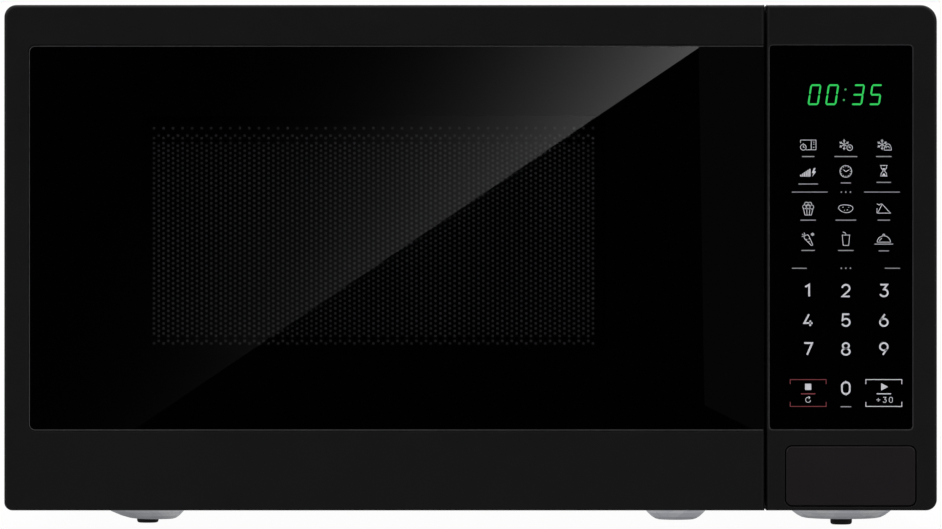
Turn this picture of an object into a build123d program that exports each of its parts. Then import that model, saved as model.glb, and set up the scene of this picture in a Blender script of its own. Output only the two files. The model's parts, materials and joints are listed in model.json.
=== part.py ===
from build123d import *
import os
from math import cos, radians, sin

# Countertop microwave oven. Millimetres, +Z up, the door faces -Y.
# Origin: centre of the footprint, on the table. Each sub-part is one block and one STEP file.

# ---------------------------------------------------------------- driving sizes
FRONT_WIDTH = 452.0  # door and control panel together
FRONT_HEIGHT = 245.0
BODY_DEPTH = 350.0  # door face to rear stand-offs
GROUND_GAP = 10.0  # table to the lower edge of the front
SHEET = 0.8  # cabinet steel
WALL = 2.5  # moulded walls
RUNNING = 0.05  # radial clearance of a turning fit
CLEAR = 0.3  # gap between pieces that move past each other
PANEL_WIDTH = 82.6  # control panel
SEAM = 1.0  # between door and control panel
FRONT_EDGE_ROUND = 1.6
CORNER_TOP_LEFT = 6.0
CORNER_BOTTOM_LEFT = 4.0
CORNER_TOP_RIGHT = 8.0
CORNER_BOTTOM_RIGHT = 5.3

DOOR_DEPTH = 32.0  # door frame, front to back
DOOR_STANDOFF = 4.5  # door frame to front plate
FACE_WALL = 6.0  # door frame's front wall, glass recess included
GLASS_THICK = 3.0
GLASS_INSET = 0.6  # glass below the frame's face
GLASS_GAP = 0.8  # glass to the edge of its recess
GLASS_SIDE_GAP = 0.2  # glass to the door's right side
GLASS_CORNER = 3.7
GLASS_LEFT_RAIL = 12.3
GLASS_TOP_RAIL = 20.1
GLASS_BOTTOM_RAIL = 39.1
WINDOW_LEFT_RAIL = 66.0  # see-through opening, from the door's edges
WINDOW_RIGHT_RAIL = 76.4
WINDOW_TOP_RAIL = 53.3
WINDOW_BOTTOM_RAIL = 75.0
WINDOW_CORNER = 6.0
CHOKE_LEFT_MARGIN = 16.0  # steel door panel, from the door's edges
CHOKE_RIGHT_MARGIN = 19.4
CHOKE_TOP_MARGIN = 12.0
CHOKE_BOTTOM_MARGIN = 13.0
CHOKE_COVER_THICK = 2.0
CHOKE_COVER_GAP = 1.0  # cover to front plate
CHOKE_CORNER = 3.0
INNER_WINDOW_THICK = 1.5
INNER_WINDOW_LIP = 8.0
INNER_WINDOW_GAP = 0.5
INNER_WINDOW_CORNER = 2.0

CABINET_INSET = 1.5  # cabinet inside the outline of the front
BASE_LIFT = 2.0  # base plate above the lower edge of the front
CABINET_CORNER = 7.0
STANDOFF_DEPTH = 8.0  # pressed stand-offs on the rear panel
STANDOFF_LENGTH = 70.0
STANDOFF_WIDTH = 26.0
STANDOFF_TAPER = 10.0  # crown shorter and narrower than the root
STANDOFF_FROM_SIDE = 74.5  # first stand-off's middle from the cabinet's left side
STANDOFF_SPACING = 140.0
REAR_LIP = 10.0
BASE_FLANGE = 12.0
BASE_FLANGE_START = 12.0  # behind the front plate

CAVITY_CORNER = 8.0
CAVITY_LEFT_GAP = 24.5  # cabinet's outer side to the cavity
CAVITY_RIGHT_GAP = 37.4  # cavity to the control panel's side
CAVITY_TOP_GAP = 11.5
CAVITY_FLOOR_GAP = 30.0
CAVITY_BACK_GAP = 13.1  # cavity to the rear panel
CAVITY_VENT_INSET = 40.0  # outlet holes from the cavity's back and roof
RECESS_DEPTH = 5.0  # round track for the rollers
TRACK_INSET = 32.5  # rollers' middle from the tray's edge
TRACK_MARGIN = 22.0

ROLLER_RADIUS = 8.5
ROLLER_WIDTH = 8.0
ROLLER_AXLE = 2.0
ROLLER_COUNT = 3
RING_SECTION = 6.0
COUPLER_RADIUS = 14.0
COUPLER_ARM_LENGTH = 22.0
COUPLER_ARM_WIDTH = 8.0
COUPLER_ARM_HEIGHT = 4.0
COUPLER_STEM = 3.5
COUPLER_STEM_ROOM = 1.5  # hole in the cavity floor round the stem
AXLE_ROOT = 1.0  # roller axle sunk in the ring
AXLE_CAP = 1.2
AXLE_CAP_LIP = 0.8
RING_INSET = 1.0  # ring's rim inside the rollers' inner faces
ROLLER_END_GAP = 0.8
TRAY_RADIUS = 127.5
TRAY_THICK = 5.0
TRAY_RIM_HEIGHT = 12.0
TRAY_RIM_WIDTH = 14.0
TRAY_RIM_THICK = 4.5
TRAY_RIM_FLAT = 3.0
TRAY_BEND = 1.0
TURNTABLE_MOTOR_RADIUS = 24.5
TURNTABLE_MOTOR_HEIGHT = 17.0
MOTOR_EAR_THICK = 1.2
MOTOR_EAR_WIDTH = 12.0
MOTOR_EAR_REACH = 8.0
MOTOR_PLUG_WIDTH = 18.0
MOTOR_PLUG_REACH = 8.0
MOTOR_PLUG_ROOT = 4.0
SOCKET_FLOOR = 5.0  # under the drive socket
SOCKET_GAP = 1.0

HINGE_INSET_X = 7.0  # pivot from the door's left edge
HINGE_INSET_Y = 7.5  # pivot from the door frame's back
HINGE_PIN = 2.5
HINGE_PIN_LENGTH = 9.0
HINGE_STEEL = 2.0
HINGE_TAB_WIDTH = 8.0
HINGE_TAB_FROM_EDGE = 10.0  # tab's outer face from the top or lower edge of the door
HINGE_PLATE_WIDTH = 19.0
HINGE_PLATE_GAP = 0.5  # to the cabinet's side
HINGE_PLATE_HEIGHT = 25.0
HINGE_BLOCK = 8.0
HINGE_BLOCK_WIDTH = 12.0
NOTCH_CLEAR = 1.0
NOTCH_REACH = 2.5  # notch past the tab, for the swing
HINGE_BLOCK_GAP = 1.0

HOOK_THICK = 3.0
HOOK_FROM_SEAM = 12.4  # hook plate's middle plane from the door's right edge
HOOK_UPPER_RAIL = 50.0  # upper arm's middle from the door's top
HOOK_LOWER_RAIL = 59.0  # lower arm's middle from the door's lower edge
HOOK_ARM_HEIGHT = 22.0
HOOK_ARM_REACH = 13.7  # behind the front plate
HOOK_BARB = 2.0
HOOK_BARB_LENGTH = 7.0
HOOK_LEAD = 3.0
HOOK_BEVEL = 2.0
HOOK_BAR_INSET = 4.0  # bar's back inside the door frame's back
HOOK_SLOT_SIDE = 0.5
HOOK_SLOT_END = 1.0
GUIDE_FROM_END = 34.0
GUIDE_HEIGHT = 8.0
SHELF_THICK = 2.0
SHELF_REACH = 4.0
HOOK_BAR_DEPTH = 10.0
HOOK_LIFT = 2.4
HOOK_SWING_ROOM = 1.6  # sideways room as the door starts to swing
HOOK_SPRING_LENGTH = 16.0
SPRING_WIRE = 0.45
HOOK_SPRING_RADIUS = 2.6
BUTTON_SPRING_RADIUS = 6.0
SPRING_TURNS = 7

BUTTON_WIDTH = 62.9
BUTTON_HEIGHT = 28.9
BUTTON_RIGHT_RAIL = 10.4
BUTTON_BOTTOM_RAIL = 2.3
BUTTON_CORNER = 3.1
BUTTON_GAP = 0.5
BUTTON_DEPTH = 14.0
BUTTON_TRAVEL = 5.0
STEM = 6.0
STEM_FROM_BUTTON_EDGE = 10.5
COLLAR_WALL = 1.5
COLLAR_DEPTH = 12.0
BUTTON_OVERTRAVEL = 1.0
STEM_GAP = 0.6  # round the stem, in the front plate

LATCH_PLATE = 3.0
LATCH_PLATE_OFFSET = 4.5  # hook plate to latch plate
LATCH_DEPTH = 42.0
LATCH_BELOW = 34.0  # below the lower hook arm's middle
LATCH_ABOVE = 30.0  # above the upper hook arm's middle
LATCH_FLANGE = 1.5
LATCH_LUG_OFFSET = 10.0
LEVER_SHAFT = 2.2
LEVER_DROP = 19.25  # lever's shaft above the button's stem
LEVER_SET_BACK = 4.2  # lever's shaft behind the front plate
LEVER_FACE = 2.2
LEVER_ARM_WIDTH = 9.0
FINGER_WIDTH = 5.0
FINGER_FRONT = 4.5
FINGER_BACK = 10.5
SWITCH_WIDTH = 10.0
SWITCH_HEIGHT = 28.0
SWITCH_DEPTH = 16.0
SWITCH_BUTTON_OFFSET = 6.4  # plunger from the switch's end
SWITCH_SPACING = 13.0  # between the two lower plungers
PLUNGER_RADIUS = 1.6
PLUNGER_TRAVEL = 1.0
PLUNGER_OUT = 2.4
PLUNGER_INSIDE = 4.0
TERMINAL_WIDTH = 6.0  # push-on blades
TERMINAL_THICK = 0.8
TERMINAL_LENGTH = 7.0

BEZEL_FACE = 4.0  # control panel's front wall
LENS_LEFT = 1.2
LENS_RIGHT_RAIL = 11.7
LENS_TOP_RAIL = 19.4
LENS_BOTTOM_RAIL = 39.1
LENS_THICK = 1.2
LENS_INSET = 0.3  # lens below the panel's face
LENS_GAP = 0.2
LENS_CORNER = 2.2
DISPLAY_WIDTH = 44.0
DISPLAY_HEIGHT = 16.0
DISPLAY_TOP_RAIL = 36.0
DISPLAY_WINDOW_GAP = 0.5
BOARD_THICK = 1.6
BOARD_WIDTH = 66.0
BOARD_HEIGHT = 150.0
BOARD_DEPTH = 16.0  # behind the control panel's face
BOARD_TOP_RAIL = 24.0
PILLAR_RADIUS = 3.0
PILLAR_INSET = 5.0
PLATE_OPENING_SHIFT = 8.0  # opening in the front plate behind the control board
PLATE_OPENING_SIDE = 12.0
PLATE_OPENING_END = 6.0
RELAY_SIZE = (19.0, 16.0)
RELAY_HEIGHT = 15.0
RELAY_SPACING = 24.0
RELAY_BELOW = 52.0  # under the board's middle
BOARD_CORE_SIZE = (34.0, 28.0)
BOARD_CORE_HEIGHT = 15.0
BOARD_CORE_ABOVE = 10.0
BOARD_BOBBIN_SIZE = (22.0, 20.0)
BOARD_BOBBIN_HEIGHT = 17.0

WAVEGUIDE_OUT = 35.0
WAVEGUIDE_LENGTH = 100.0
WAVEGUIDE_HEIGHT = 85.0
WAVEGUIDE_FLANGE = 8.0
WAVEGUIDE_START = 121.0  # behind the front plate
WAVEGUIDE_TOP = 18.0  # below the cavity's roof
FEED_WIDTH = 60.0
FEED_HEIGHT = 36.0
MICA_THICK = 0.5
MICA_MARGIN = 12.0
YOKE_LENGTH = 80.0
YOKE_HEIGHT = 95.0
YOKE_WIDTH = 54.0
YOKE_STEEL = 1.6
ANODE_RADIUS = 18.0
FIN_COUNT = 7
FIN_THICK = 0.8
ANTENNA_RADIUS = 8.0
ANTENNA_LENGTH = 26.0
ANTENNA_GAP = 5.0  # in the waveguide
ANTENNA_COLLAR_GAP = 1.0  # in the yoke
FIN_INSET = 3.0
FILTER_BOX_WIDTH = 22.0
FILTER_BOX_LENGTH = 62.0
FILTER_BOX_HEIGHT = 50.0

CORE_WIDTH = 84.0
CORE_DEPTH = 62.0
CORE_HEIGHT = 70.0
CORE_LEG = 22.0
COIL_WALL = 18.0
CORE_FROM_CAVITY = 14.0
CORE_FROM_REAR = 65.1  # core's back to the rear panel
COIL_ROOM = 1.5
CAPACITOR_WIDTH = 50.0
CAPACITOR_HEIGHT = 32.0
CAPACITOR_LENGTH = 82.0
CAPACITOR_FROM_COIL = 6.0
CAPACITOR_FROM_SIDE = 20.0
CAPACITOR_POST_SPACING = 18.0
CAPACITOR_POST_RADIUS = 4.5
CAPACITOR_POST = 3.0
CLAMP_WIDTH = 14.0
CLAMP_EAR = 11.0
DIODE_RADIUS = 3.5
DIODE_LENGTH = 16.0
DIODE_FROM_CAPACITOR = 22.0
DIODE_LUG = 12.0

FAN_BOX = 96.0
FAN_BOX_DEPTH = 54.0
FAN_WALL = 2.0
FAN_RADIUS = 42.0
FAN_TIP_GAP = 2.0
FAN_HUB_RADIUS = 11.0
FAN_BLADES = 5
FAN_BLADE_DEPTH = 18.0
FAN_BLADE_WIDTH = 26.0
FAN_BLADE_THICK = 1.6
FAN_BLADE_PITCH = 32.0  # degrees
FAN_BLADE_ROOT = 2.0
FAN_BLADE_GAP = 2.3  # to the motor's cross
FAN_FROM_SIDE = 58.0
FAN_FROM_TOP = 66.0
FAN_SHAFT = 2.5
FAN_MOTOR_SIZE = 46.0
FAN_MOTOR_DEPTH = 16.0
FAN_MOTOR_FROM_REAR = 5.0
SPIDER_WIDTH = 9.0
SPIDER_THICK = 3.0

DUCT_WALL = 1.5
DUCT_LENGTH = 24.0
DUCT_GAP = 2.0
LAMP_RADIUS = 10.0
LAMP_LENGTH = 26.0
LAMP_NECK = 4.0
LAMP_NECK_RADIUS = 6.0
LAMP_START = 41.0
LAMP_FROM_CAVITY = 15.0
LAMP_FROM_TOP = 38.0
HOLDER_LENGTH = 17.0
HOLDER_RADIUS = 8.0
HOLDER_ARM = 4.0
HOLDER_FOOT_WIDTH = 10.0
HOLDER_FOOT_THICK = 1.5
HOLDER_FOOT_REACH = 6.0
VENT_HOLE = 1.8
VENT_PITCH = 6.0
CUTOUT_RADIUS = 8.0
CUTOUT_HEIGHT = 6.0
CUTOUT_FROM_RIGHT = 46.0
CUTOUT_FROM_BACK = 52.0
CUTOUT_EAR_WIDTH = 7.0
CUTOUT_EAR_THICK = 1.0
CUTOUT_BLADE = 3.0
CUTOUT_BLADE_SPACING = 8.0
FILTER_BOARD_WIDTH = 60.0
FILTER_BOARD_HEIGHT = 44.0
FILTER_BOARD_FROM_CAVITY = 20.0
FILTER_BOARD_ABOVE_BASE = 20.0
FILTER_BOARD_FROM_REAR = 8.0
FILTER_PIN = 2.0
FILTER_PIN_INSET = 4.0
FILTER_COIL_RADIUS = 9.0
FILTER_COIL_HEIGHT = 10.0
FILTER_CAPACITOR_SIZE = (22.0, 12.0)
FILTER_CAPACITOR_HEIGHT = 12.0
FILTER_FUSE_SIZE = (22.0, 6.0)
FILTER_FUSE_HEIGHT = 7.0
FILTER_SPREAD = 14.0
FILTER_CAPACITOR_ABOVE = 6.0
FILTER_FUSE_BELOW = 12.0
GLAND_RADIUS = 8.0
GLAND_BORE = 4.0
GLAND_FLANGE = 2.5
GLAND_OUTER_LIP = 2.5
GLAND_INNER_LIP = 1.5
GLAND_EDGE = 0.8
GLAND_FROM_SIDE = 24.5
GLAND_Z = 45.0

FOOT_RADIUS = 5.4
FOOT_STEM = 2.6
FOOT_EDGE = 1.3
FOOT_BARB_LIP = 1.2
FOOT_BARB = 1.5
FOOT_FROM_LEFT = 64.3
FOOT_FROM_RIGHT = 41.7
FOOT_FRONT_LEFT = 89.0  # behind the face
FOOT_FRONT_RIGHT = 70.0
FOOT_FROM_REAR = 55.0
STIFFENER_FROM_RIGHT = 124.0
BOSS_ROWS = 5  # rings in a boss's side
BOSS_CURVE = 0.6  # how fast a boss widens above its bottom
BOSS_LEAN = 1.9  # how far a leaning boss swings back at the plate
SCREW_HEAD = 3.8
SCREW_HEAD_HEIGHT = 2.0
SCREW_SHANK = 1.9
SCREW_LENGTH = 8.0
SCREW_HOLE_GAP = 0.15
SCREW_INSET = 22.0
LOUVRE_LENGTH = 26.0
LOUVRE_WIDTH = 3.0
LOUVRE_PITCH = 7.0
SIDE_LOUVRE_PITCH = 10.0
SIDE_LOUVRE_ROW = 34.0
SIDE_LOUVRE_FROM_REAR = 70.0
SIDE_LOUVRE_ABOVE = 96.0
REAR_LOUVRE_COLUMN = 30.0
REAR_LOUVRE_ABOVE = 60.0
FAN_LOUVRE_COLUMN = 28.0
FAN_LOUVRE_PITCH = 8.5
BASE_SLOT_LENGTH = 34.0
BASE_SLOT_WIDTH = 3.4
BASE_SLOT_PITCH = 9.0
BASE_SLOT_ROW = 45.0
BASE_SLOT_FROM_SIDE = 59.5

# ---------------------------------------------------------------- places that follow
LEFT = -FRONT_WIDTH / 2
RIGHT = FRONT_WIDTH / 2
FACE = -BODY_DEPTH / 2
REAR = BODY_DEPTH / 2
BOTTOM = GROUND_GAP
TOP = GROUND_GAP + FRONT_HEIGHT
PANEL_LEFT = RIGHT - PANEL_WIDTH
DOOR_RIGHT = PANEL_LEFT - SEAM
FRAME_BACK = FACE + DOOR_DEPTH
FACE_BACK = FACE + FACE_WALL
PLATE_FRONT = FRAME_BACK + DOOR_STANDOFF
PLATE_BACK = PLATE_FRONT + SHEET
CASE_LEFT = LEFT + CABINET_INSET
CASE_RIGHT = RIGHT - CABINET_INSET
CASE_TOP = TOP - CABINET_INSET
CASE_BOTTOM = BOTTOM + BASE_LIFT
INSIDE_LEFT = CASE_LEFT + SHEET
INSIDE_RIGHT = CASE_RIGHT - SHEET
INSIDE_TOP = CASE_TOP - SHEET
BASE_TOP = CASE_BOTTOM + SHEET
LIP_BACK = REAR - STANDOFF_DEPTH  # outer face of the cabinet's rear lip
PANEL_OUT = LIP_BACK - SHEET  # outer face of the rear panel
PANEL_IN = PANEL_OUT - SHEET

CAVITY_LEFT = CASE_LEFT + CAVITY_LEFT_GAP
CAVITY_RIGHT = PANEL_LEFT - CAVITY_RIGHT_GAP
CAVITY_TOP = CASE_TOP - CAVITY_TOP_GAP
CAVITY_FLOOR = CASE_BOTTOM + CAVITY_FLOOR_GAP
CAVITY_BACK = PANEL_IN - CAVITY_BACK_GAP
CAVITY_WIDTH = CAVITY_RIGHT - CAVITY_LEFT
CAVITY_HEIGHT = CAVITY_TOP - CAVITY_FLOOR
CAVITY_DEPTH = CAVITY_BACK - PLATE_BACK
CAVITY_X = (CAVITY_LEFT + CAVITY_RIGHT) / 2
CAVITY_Y = (PLATE_BACK + CAVITY_BACK) / 2
CAVITY_Z = (CAVITY_FLOOR + CAVITY_TOP) / 2
LINER_RIGHT = CAVITY_RIGHT + SHEET
TRACK_FLOOR = CAVITY_FLOOR - RECESS_DEPTH
TRACK_RADIUS = TRAY_RADIUS - TRACK_INSET
AXLE_Z = TRACK_FLOOR + CLEAR + ROLLER_RADIUS
TRAY_BOTTOM = AXLE_Z + ROLLER_RADIUS + CLEAR

PIVOT_X = LEFT + HINGE_INSET_X
PIVOT_Y = FRAME_BACK - HINGE_INSET_Y
HOOK_X = DOOR_RIGHT - HOOK_FROM_SEAM
HOOK_UPPER_Z = TOP - HOOK_UPPER_RAIL
HOOK_LOWER_Z = BOTTOM + HOOK_LOWER_RAIL
HOOK_TIP = PLATE_BACK + HOOK_ARM_REACH
HOOK_BOTTOM = HOOK_LOWER_Z - HOOK_ARM_HEIGHT / 2
HOOK_TOP = HOOK_UPPER_Z + HOOK_ARM_HEIGHT / 2
BUTTON_X = RIGHT - BUTTON_RIGHT_RAIL - BUTTON_WIDTH / 2
BUTTON_Z = BOTTOM + BUTTON_BOTTOM_RAIL + BUTTON_HEIGHT / 2
STEM_X = BUTTON_X - BUTTON_WIDTH / 2 + STEM_FROM_BUTTON_EDGE
LATCH_X = HOOK_X + HOOK_THICK / 2 + LATCH_PLATE_OFFSET
LEVER_Y = PLATE_BACK + LEVER_SET_BACK
LEVER_Z = BUTTON_Z + LEVER_DROP
STEM_TIP = LEVER_Y - LEVER_FACE - CLEAR
FAN_X = CASE_RIGHT - FAN_FROM_SIDE
FAN_Z = CASE_TOP - FAN_FROM_TOP
LENS_X = (PANEL_LEFT + LENS_LEFT + RIGHT - LENS_RIGHT_RAIL) / 2
LENS_WIDTH = PANEL_WIDTH - LENS_LEFT - LENS_RIGHT_RAIL
LENS_Z = (BOTTOM + LENS_BOTTOM_RAIL + TOP - LENS_TOP_RAIL) / 2
LENS_HEIGHT = FRONT_HEIGHT - LENS_BOTTOM_RAIL - LENS_TOP_RAIL
DISPLAY_Z = TOP - DISPLAY_TOP_RAIL - DISPLAY_HEIGHT / 2
BOARD_Z = TOP - BOARD_TOP_RAIL - BOARD_HEIGHT / 2
BOARD_FRONT = FACE + BOARD_DEPTH
WAVEGUIDE_Y = PLATE_BACK + WAVEGUIDE_START + WAVEGUIDE_LENGTH / 2
WAVEGUIDE_Z = CAVITY_TOP - WAVEGUIDE_TOP - WAVEGUIDE_HEIGHT / 2
WAVEGUIDE_RIGHT = LINER_RIGHT + WAVEGUIDE_OUT
YOKE_RIGHT = WAVEGUIDE_RIGHT + YOKE_WIDTH

# feet: x, y, boss radius at the plate and at the bottom, sideways shift of the bottom, bottom height
FOOT_LEFT = LEFT + FOOT_FROM_LEFT
FOOT_RIGHT = RIGHT - FOOT_FROM_RIGHT
BOSSES = [
    (FOOT_LEFT, FACE + FOOT_FRONT_LEFT, 25.5, 9.2, 3.7, 2.0),
    (FOOT_RIGHT, FACE + FOOT_FRONT_RIGHT, 29.5, 18.1, 0.0, 3.4),
    (FOOT_LEFT, REAR - FOOT_FROM_REAR, 20.0, 13.0, 0.0, 3.4),
    (FOOT_RIGHT, REAR - FOOT_FROM_REAR, 20.0, 13.0, 0.0, 3.4),
]
STIFFENER = (RIGHT - STIFFENER_FROM_RIGHT, FACE + FOOT_FRONT_RIGHT, 18.7, 8.7, 0.0, 2.6)
FOOT_SPOTS = [(x, y, z) for x, y, _, _, _, z in BOSSES]


# ---------------------------------------------------------------- helpers
def facing(y):
    """Upright plane at depth y, seen from the door side: local x is +X, local y is +Z."""
    return Plane.XZ.offset(-y)


def across(x):
    """Upright plane at x, seen from the right: local x is +Y, local y is +Z."""
    return Plane.YZ.offset(x)


def level(z):
    """Horizontal plane at height z."""
    return Plane.XY.offset(z)


def block(x, y, z, mode=Mode.ADD):
    """Box between two limits along each axis."""
    with Locations(((x[0] + x[1]) / 2, (y[0] + y[1]) / 2, (z[0] + z[1]) / 2)):
        Box(abs(x[1] - x[0]), abs(y[1] - y[0]), abs(z[1] - z[0]), mode=mode)


def rod(plane, centre, radius, length, mode=Mode.ADD):
    """Round bar that rises from a plane."""
    with BuildSketch(plane) as section:
        with Locations(centre):
            Circle(radius)
    extrude(section.sketch, amount=length, mode=mode)


def slab(plane, centre, size, thick, corner=0.0, mode=Mode.ADD):
    """Flat plate that rises from a plane, with rounded corners."""
    with BuildSketch(plane) as section:
        with Locations(centre):
            Rectangle(*size)
        if corner > 0:
            fillet(section.vertices(), corner)
    extrude(section.sketch, amount=thick, mode=mode)


def holes(plane, centre, counts, pitch, radius, depth):
    """Grid of round holes cut along a plane's normal."""
    with BuildSketch(plane) as pattern:
        with Locations(centre):
            with GridLocations(pitch, pitch, *counts):
                Circle(radius)
    extrude(pattern.sketch, amount=depth, mode=Mode.SUBTRACT)


def slots(plane, centre, counts, pitch, size, depth, turn=0.0):
    """Grid of round-ended slots cut along a plane's normal."""
    with BuildSketch(plane) as pattern:
        with Locations(centre):
            with GridLocations(pitch[0], pitch[1], *counts):
                SlotOverall(*size, rotation=turn)
    extrude(pattern.sketch, amount=depth, mode=Mode.SUBTRACT)


def boss(spot, z_top, inset, mode):
    """Pressed dish with a curved side that hangs below a plate."""
    x, y, top_radius, bottom_radius, shift, z_bottom = spot
    sections = []
    for step in range(BOSS_ROWS + 1):
        climb = (1 - step / BOSS_ROWS) ** 2
        flare = climb**BOSS_CURVE
        z = z_bottom + inset + climb * (z_top - z_bottom - inset)
        with BuildSketch(level(z)) as ring:
            with Locations((x + shift * (1 - BOSS_LEAN * flare), y)):
                Circle(bottom_radius + flare * (top_radius - bottom_radius) - inset)
        sections.append(ring.sketch)
    loft(sections, ruled=True, mode=mode)


def coil(plane, radius, length, turns):
    """Round-wire compression spring that rises from a plane."""
    wire = SPRING_WIRE
    foot = plane.origin + plane.z_dir * wire
    with BuildLine() as path:
        Helix((length - 2 * wire) / turns, length - 2 * wire, radius, foot, plane.z_dir)
    with BuildSketch(path.line ^ 0) as section:
        Circle(wire)
    sweep(section.sketch, path=path.line)


def save(name, builder):
    """Labels a finished piece and writes its STEP file."""
    builder.part.label = name
    export_step(builder.part, f"parts/{name}.step")


os.makedirs("parts", exist_ok=True)

# ---------------------------------------------------------------- cabinet
with BuildPart() as front_plate:
    slab(
        facing(PLATE_BACK),
        ((INSIDE_LEFT + INSIDE_RIGHT) / 2, (BASE_TOP + INSIDE_TOP) / 2),
        (INSIDE_RIGHT - INSIDE_LEFT, INSIDE_TOP - BASE_TOP),
        SHEET,
        CABINET_CORNER - SHEET,
    )
    slab(
        facing(PLATE_BACK),
        (CAVITY_X, CAVITY_Z),
        (CAVITY_WIDTH, CAVITY_HEIGHT),
        SHEET,
        CAVITY_CORNER,
        Mode.SUBTRACT,
    )
    for edge_z in (TOP - HINGE_TAB_FROM_EDGE - HINGE_STEEL, BOTTOM + HINGE_TAB_FROM_EDGE):
        block(
            (PIVOT_X - HINGE_TAB_WIDTH / 2 - CLEAR, PIVOT_X + HINGE_TAB_WIDTH / 2 + CLEAR),
            (PLATE_FRONT, PLATE_BACK),
            (edge_z - CLEAR, edge_z + HINGE_STEEL + CLEAR),
            Mode.SUBTRACT,
        )
    for hook_z in (HOOK_UPPER_Z, HOOK_LOWER_Z):
        block(
            (HOOK_X - HOOK_THICK / 2 - HOOK_SLOT_SIDE, HOOK_X + HOOK_THICK / 2 + HOOK_SWING_ROOM),
            (PLATE_FRONT, PLATE_BACK),
            (
                hook_z - HOOK_ARM_HEIGHT / 2 - HOOK_BARB - HOOK_SLOT_END,
                hook_z + HOOK_ARM_HEIGHT / 2 + HOOK_LIFT + HOOK_SLOT_END,
            ),
            Mode.SUBTRACT,
        )
    slab(
        facing(PLATE_BACK),
        (STEM_X, BUTTON_Z),
        (STEM + 2 * STEM_GAP, STEM + 2 * STEM_GAP),
        SHEET,
        mode=Mode.SUBTRACT,
    )
    slab(
        facing(PLATE_BACK),
        (LENS_X + PLATE_OPENING_SHIFT, BOARD_Z),
        (BOARD_WIDTH - 2 * PLATE_OPENING_SIDE, BOARD_HEIGHT - 2 * PLATE_OPENING_END),
        SHEET,
        WINDOW_CORNER,
        Mode.SUBTRACT,
    )
save("front_plate", front_plate)

with BuildPart() as cabinet_shell:
    with BuildSketch(facing(LIP_BACK)) as hoop:
        with Locations((0, (CASE_TOP + CASE_BOTTOM) / 2)):
            Rectangle(CASE_RIGHT - CASE_LEFT, CASE_TOP - CASE_BOTTOM)
        fillet(hoop.vertices().group_by(Axis.Y)[-1], CABINET_CORNER)
        with BuildSketch(mode=Mode.SUBTRACT) as hollow:
            with Locations((0, (INSIDE_TOP + CASE_BOTTOM) / 2)):
                Rectangle(INSIDE_RIGHT - INSIDE_LEFT, INSIDE_TOP - CASE_BOTTOM)
            fillet(hollow.vertices().group_by(Axis.Y)[-1], CABINET_CORNER - SHEET)
    extrude(amount=LIP_BACK - PLATE_FRONT)
    with BuildSketch(facing(LIP_BACK)) as lip:
        with Locations((0, (CASE_TOP + BASE_TOP) / 2)):
            Rectangle(INSIDE_RIGHT - INSIDE_LEFT + SHEET, CASE_TOP - SHEET - BASE_TOP + SHEET)
        fillet(lip.vertices().group_by(Axis.Y)[-1], CABINET_CORNER - SHEET / 2)
        with Locations((0, (CASE_TOP + BASE_TOP) / 2 - REAR_LIP)):
            Rectangle(
                INSIDE_RIGHT - INSIDE_LEFT - 2 * REAR_LIP,
                CASE_TOP - BASE_TOP,
                mode=Mode.SUBTRACT,
            )
    extrude(amount=SHEET)
    for side in (-1, 1):
        slots(
            across(side * CASE_RIGHT - 2 * SHEET),
            (REAR - SIDE_LOUVRE_FROM_REAR, CASE_BOTTOM + SIDE_LOUVRE_ABOVE),
            (8, 3),
            (SIDE_LOUVRE_PITCH, SIDE_LOUVRE_ROW),
            (LOUVRE_LENGTH, LOUVRE_WIDTH),
            4 * SHEET,
            90,
        )
    rear_screws = []
    for x in (INSIDE_LEFT + REAR_LIP / 2, INSIDE_RIGHT - REAR_LIP / 2):
        for z in (BASE_TOP + SCREW_INSET, (BASE_TOP + INSIDE_TOP) / 2, INSIDE_TOP - SCREW_INSET):
            rear_screws.append((x, z))
    rear_screws.append((0, INSIDE_TOP - REAR_LIP / 2))
    for spot in rear_screws:
        rod(facing(LIP_BACK), spot, SCREW_SHANK + SCREW_HOLE_GAP, SHEET, Mode.SUBTRACT)
save("cabinet_shell", cabinet_shell)

with BuildPart() as base_plate:
    block((INSIDE_LEFT, INSIDE_RIGHT), (PLATE_FRONT, PANEL_IN), (CASE_BOTTOM, BASE_TOP))
    for side in (INSIDE_LEFT, INSIDE_RIGHT - SHEET):
        block(
            (side, side + SHEET),
            (PLATE_BACK + BASE_FLANGE_START, PANEL_IN - SHEET),
            (BASE_TOP, BASE_TOP + BASE_FLANGE),
        )
    block(
        (INSIDE_LEFT + REAR_LIP, INSIDE_RIGHT - REAR_LIP),
        (PANEL_IN - SHEET, PANEL_IN),
        (BASE_TOP, BASE_TOP + BASE_FLANGE),
    )
    for spot in [*BOSSES, STIFFENER]:
        boss(spot, CASE_BOTTOM + SHEET / 2, 0, Mode.ADD)
    for spot in [*BOSSES, STIFFENER]:
        boss(spot, BASE_TOP, SHEET, Mode.SUBTRACT)
    for x, y, z in FOOT_SPOTS:
        rod(level(z), (x, y), FOOT_STEM, SHEET + 0.01, Mode.SUBTRACT)
    slots(
        level(CASE_BOTTOM),
        (CASE_RIGHT - BASE_SLOT_FROM_SIDE, (FACE + REAR) / 2),
        (9, 3),
        (BASE_SLOT_PITCH, BASE_SLOT_ROW),
        (BASE_SLOT_LENGTH, BASE_SLOT_WIDTH),
        SHEET,
        90,
    )
save("base_plate", base_plate)

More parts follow.
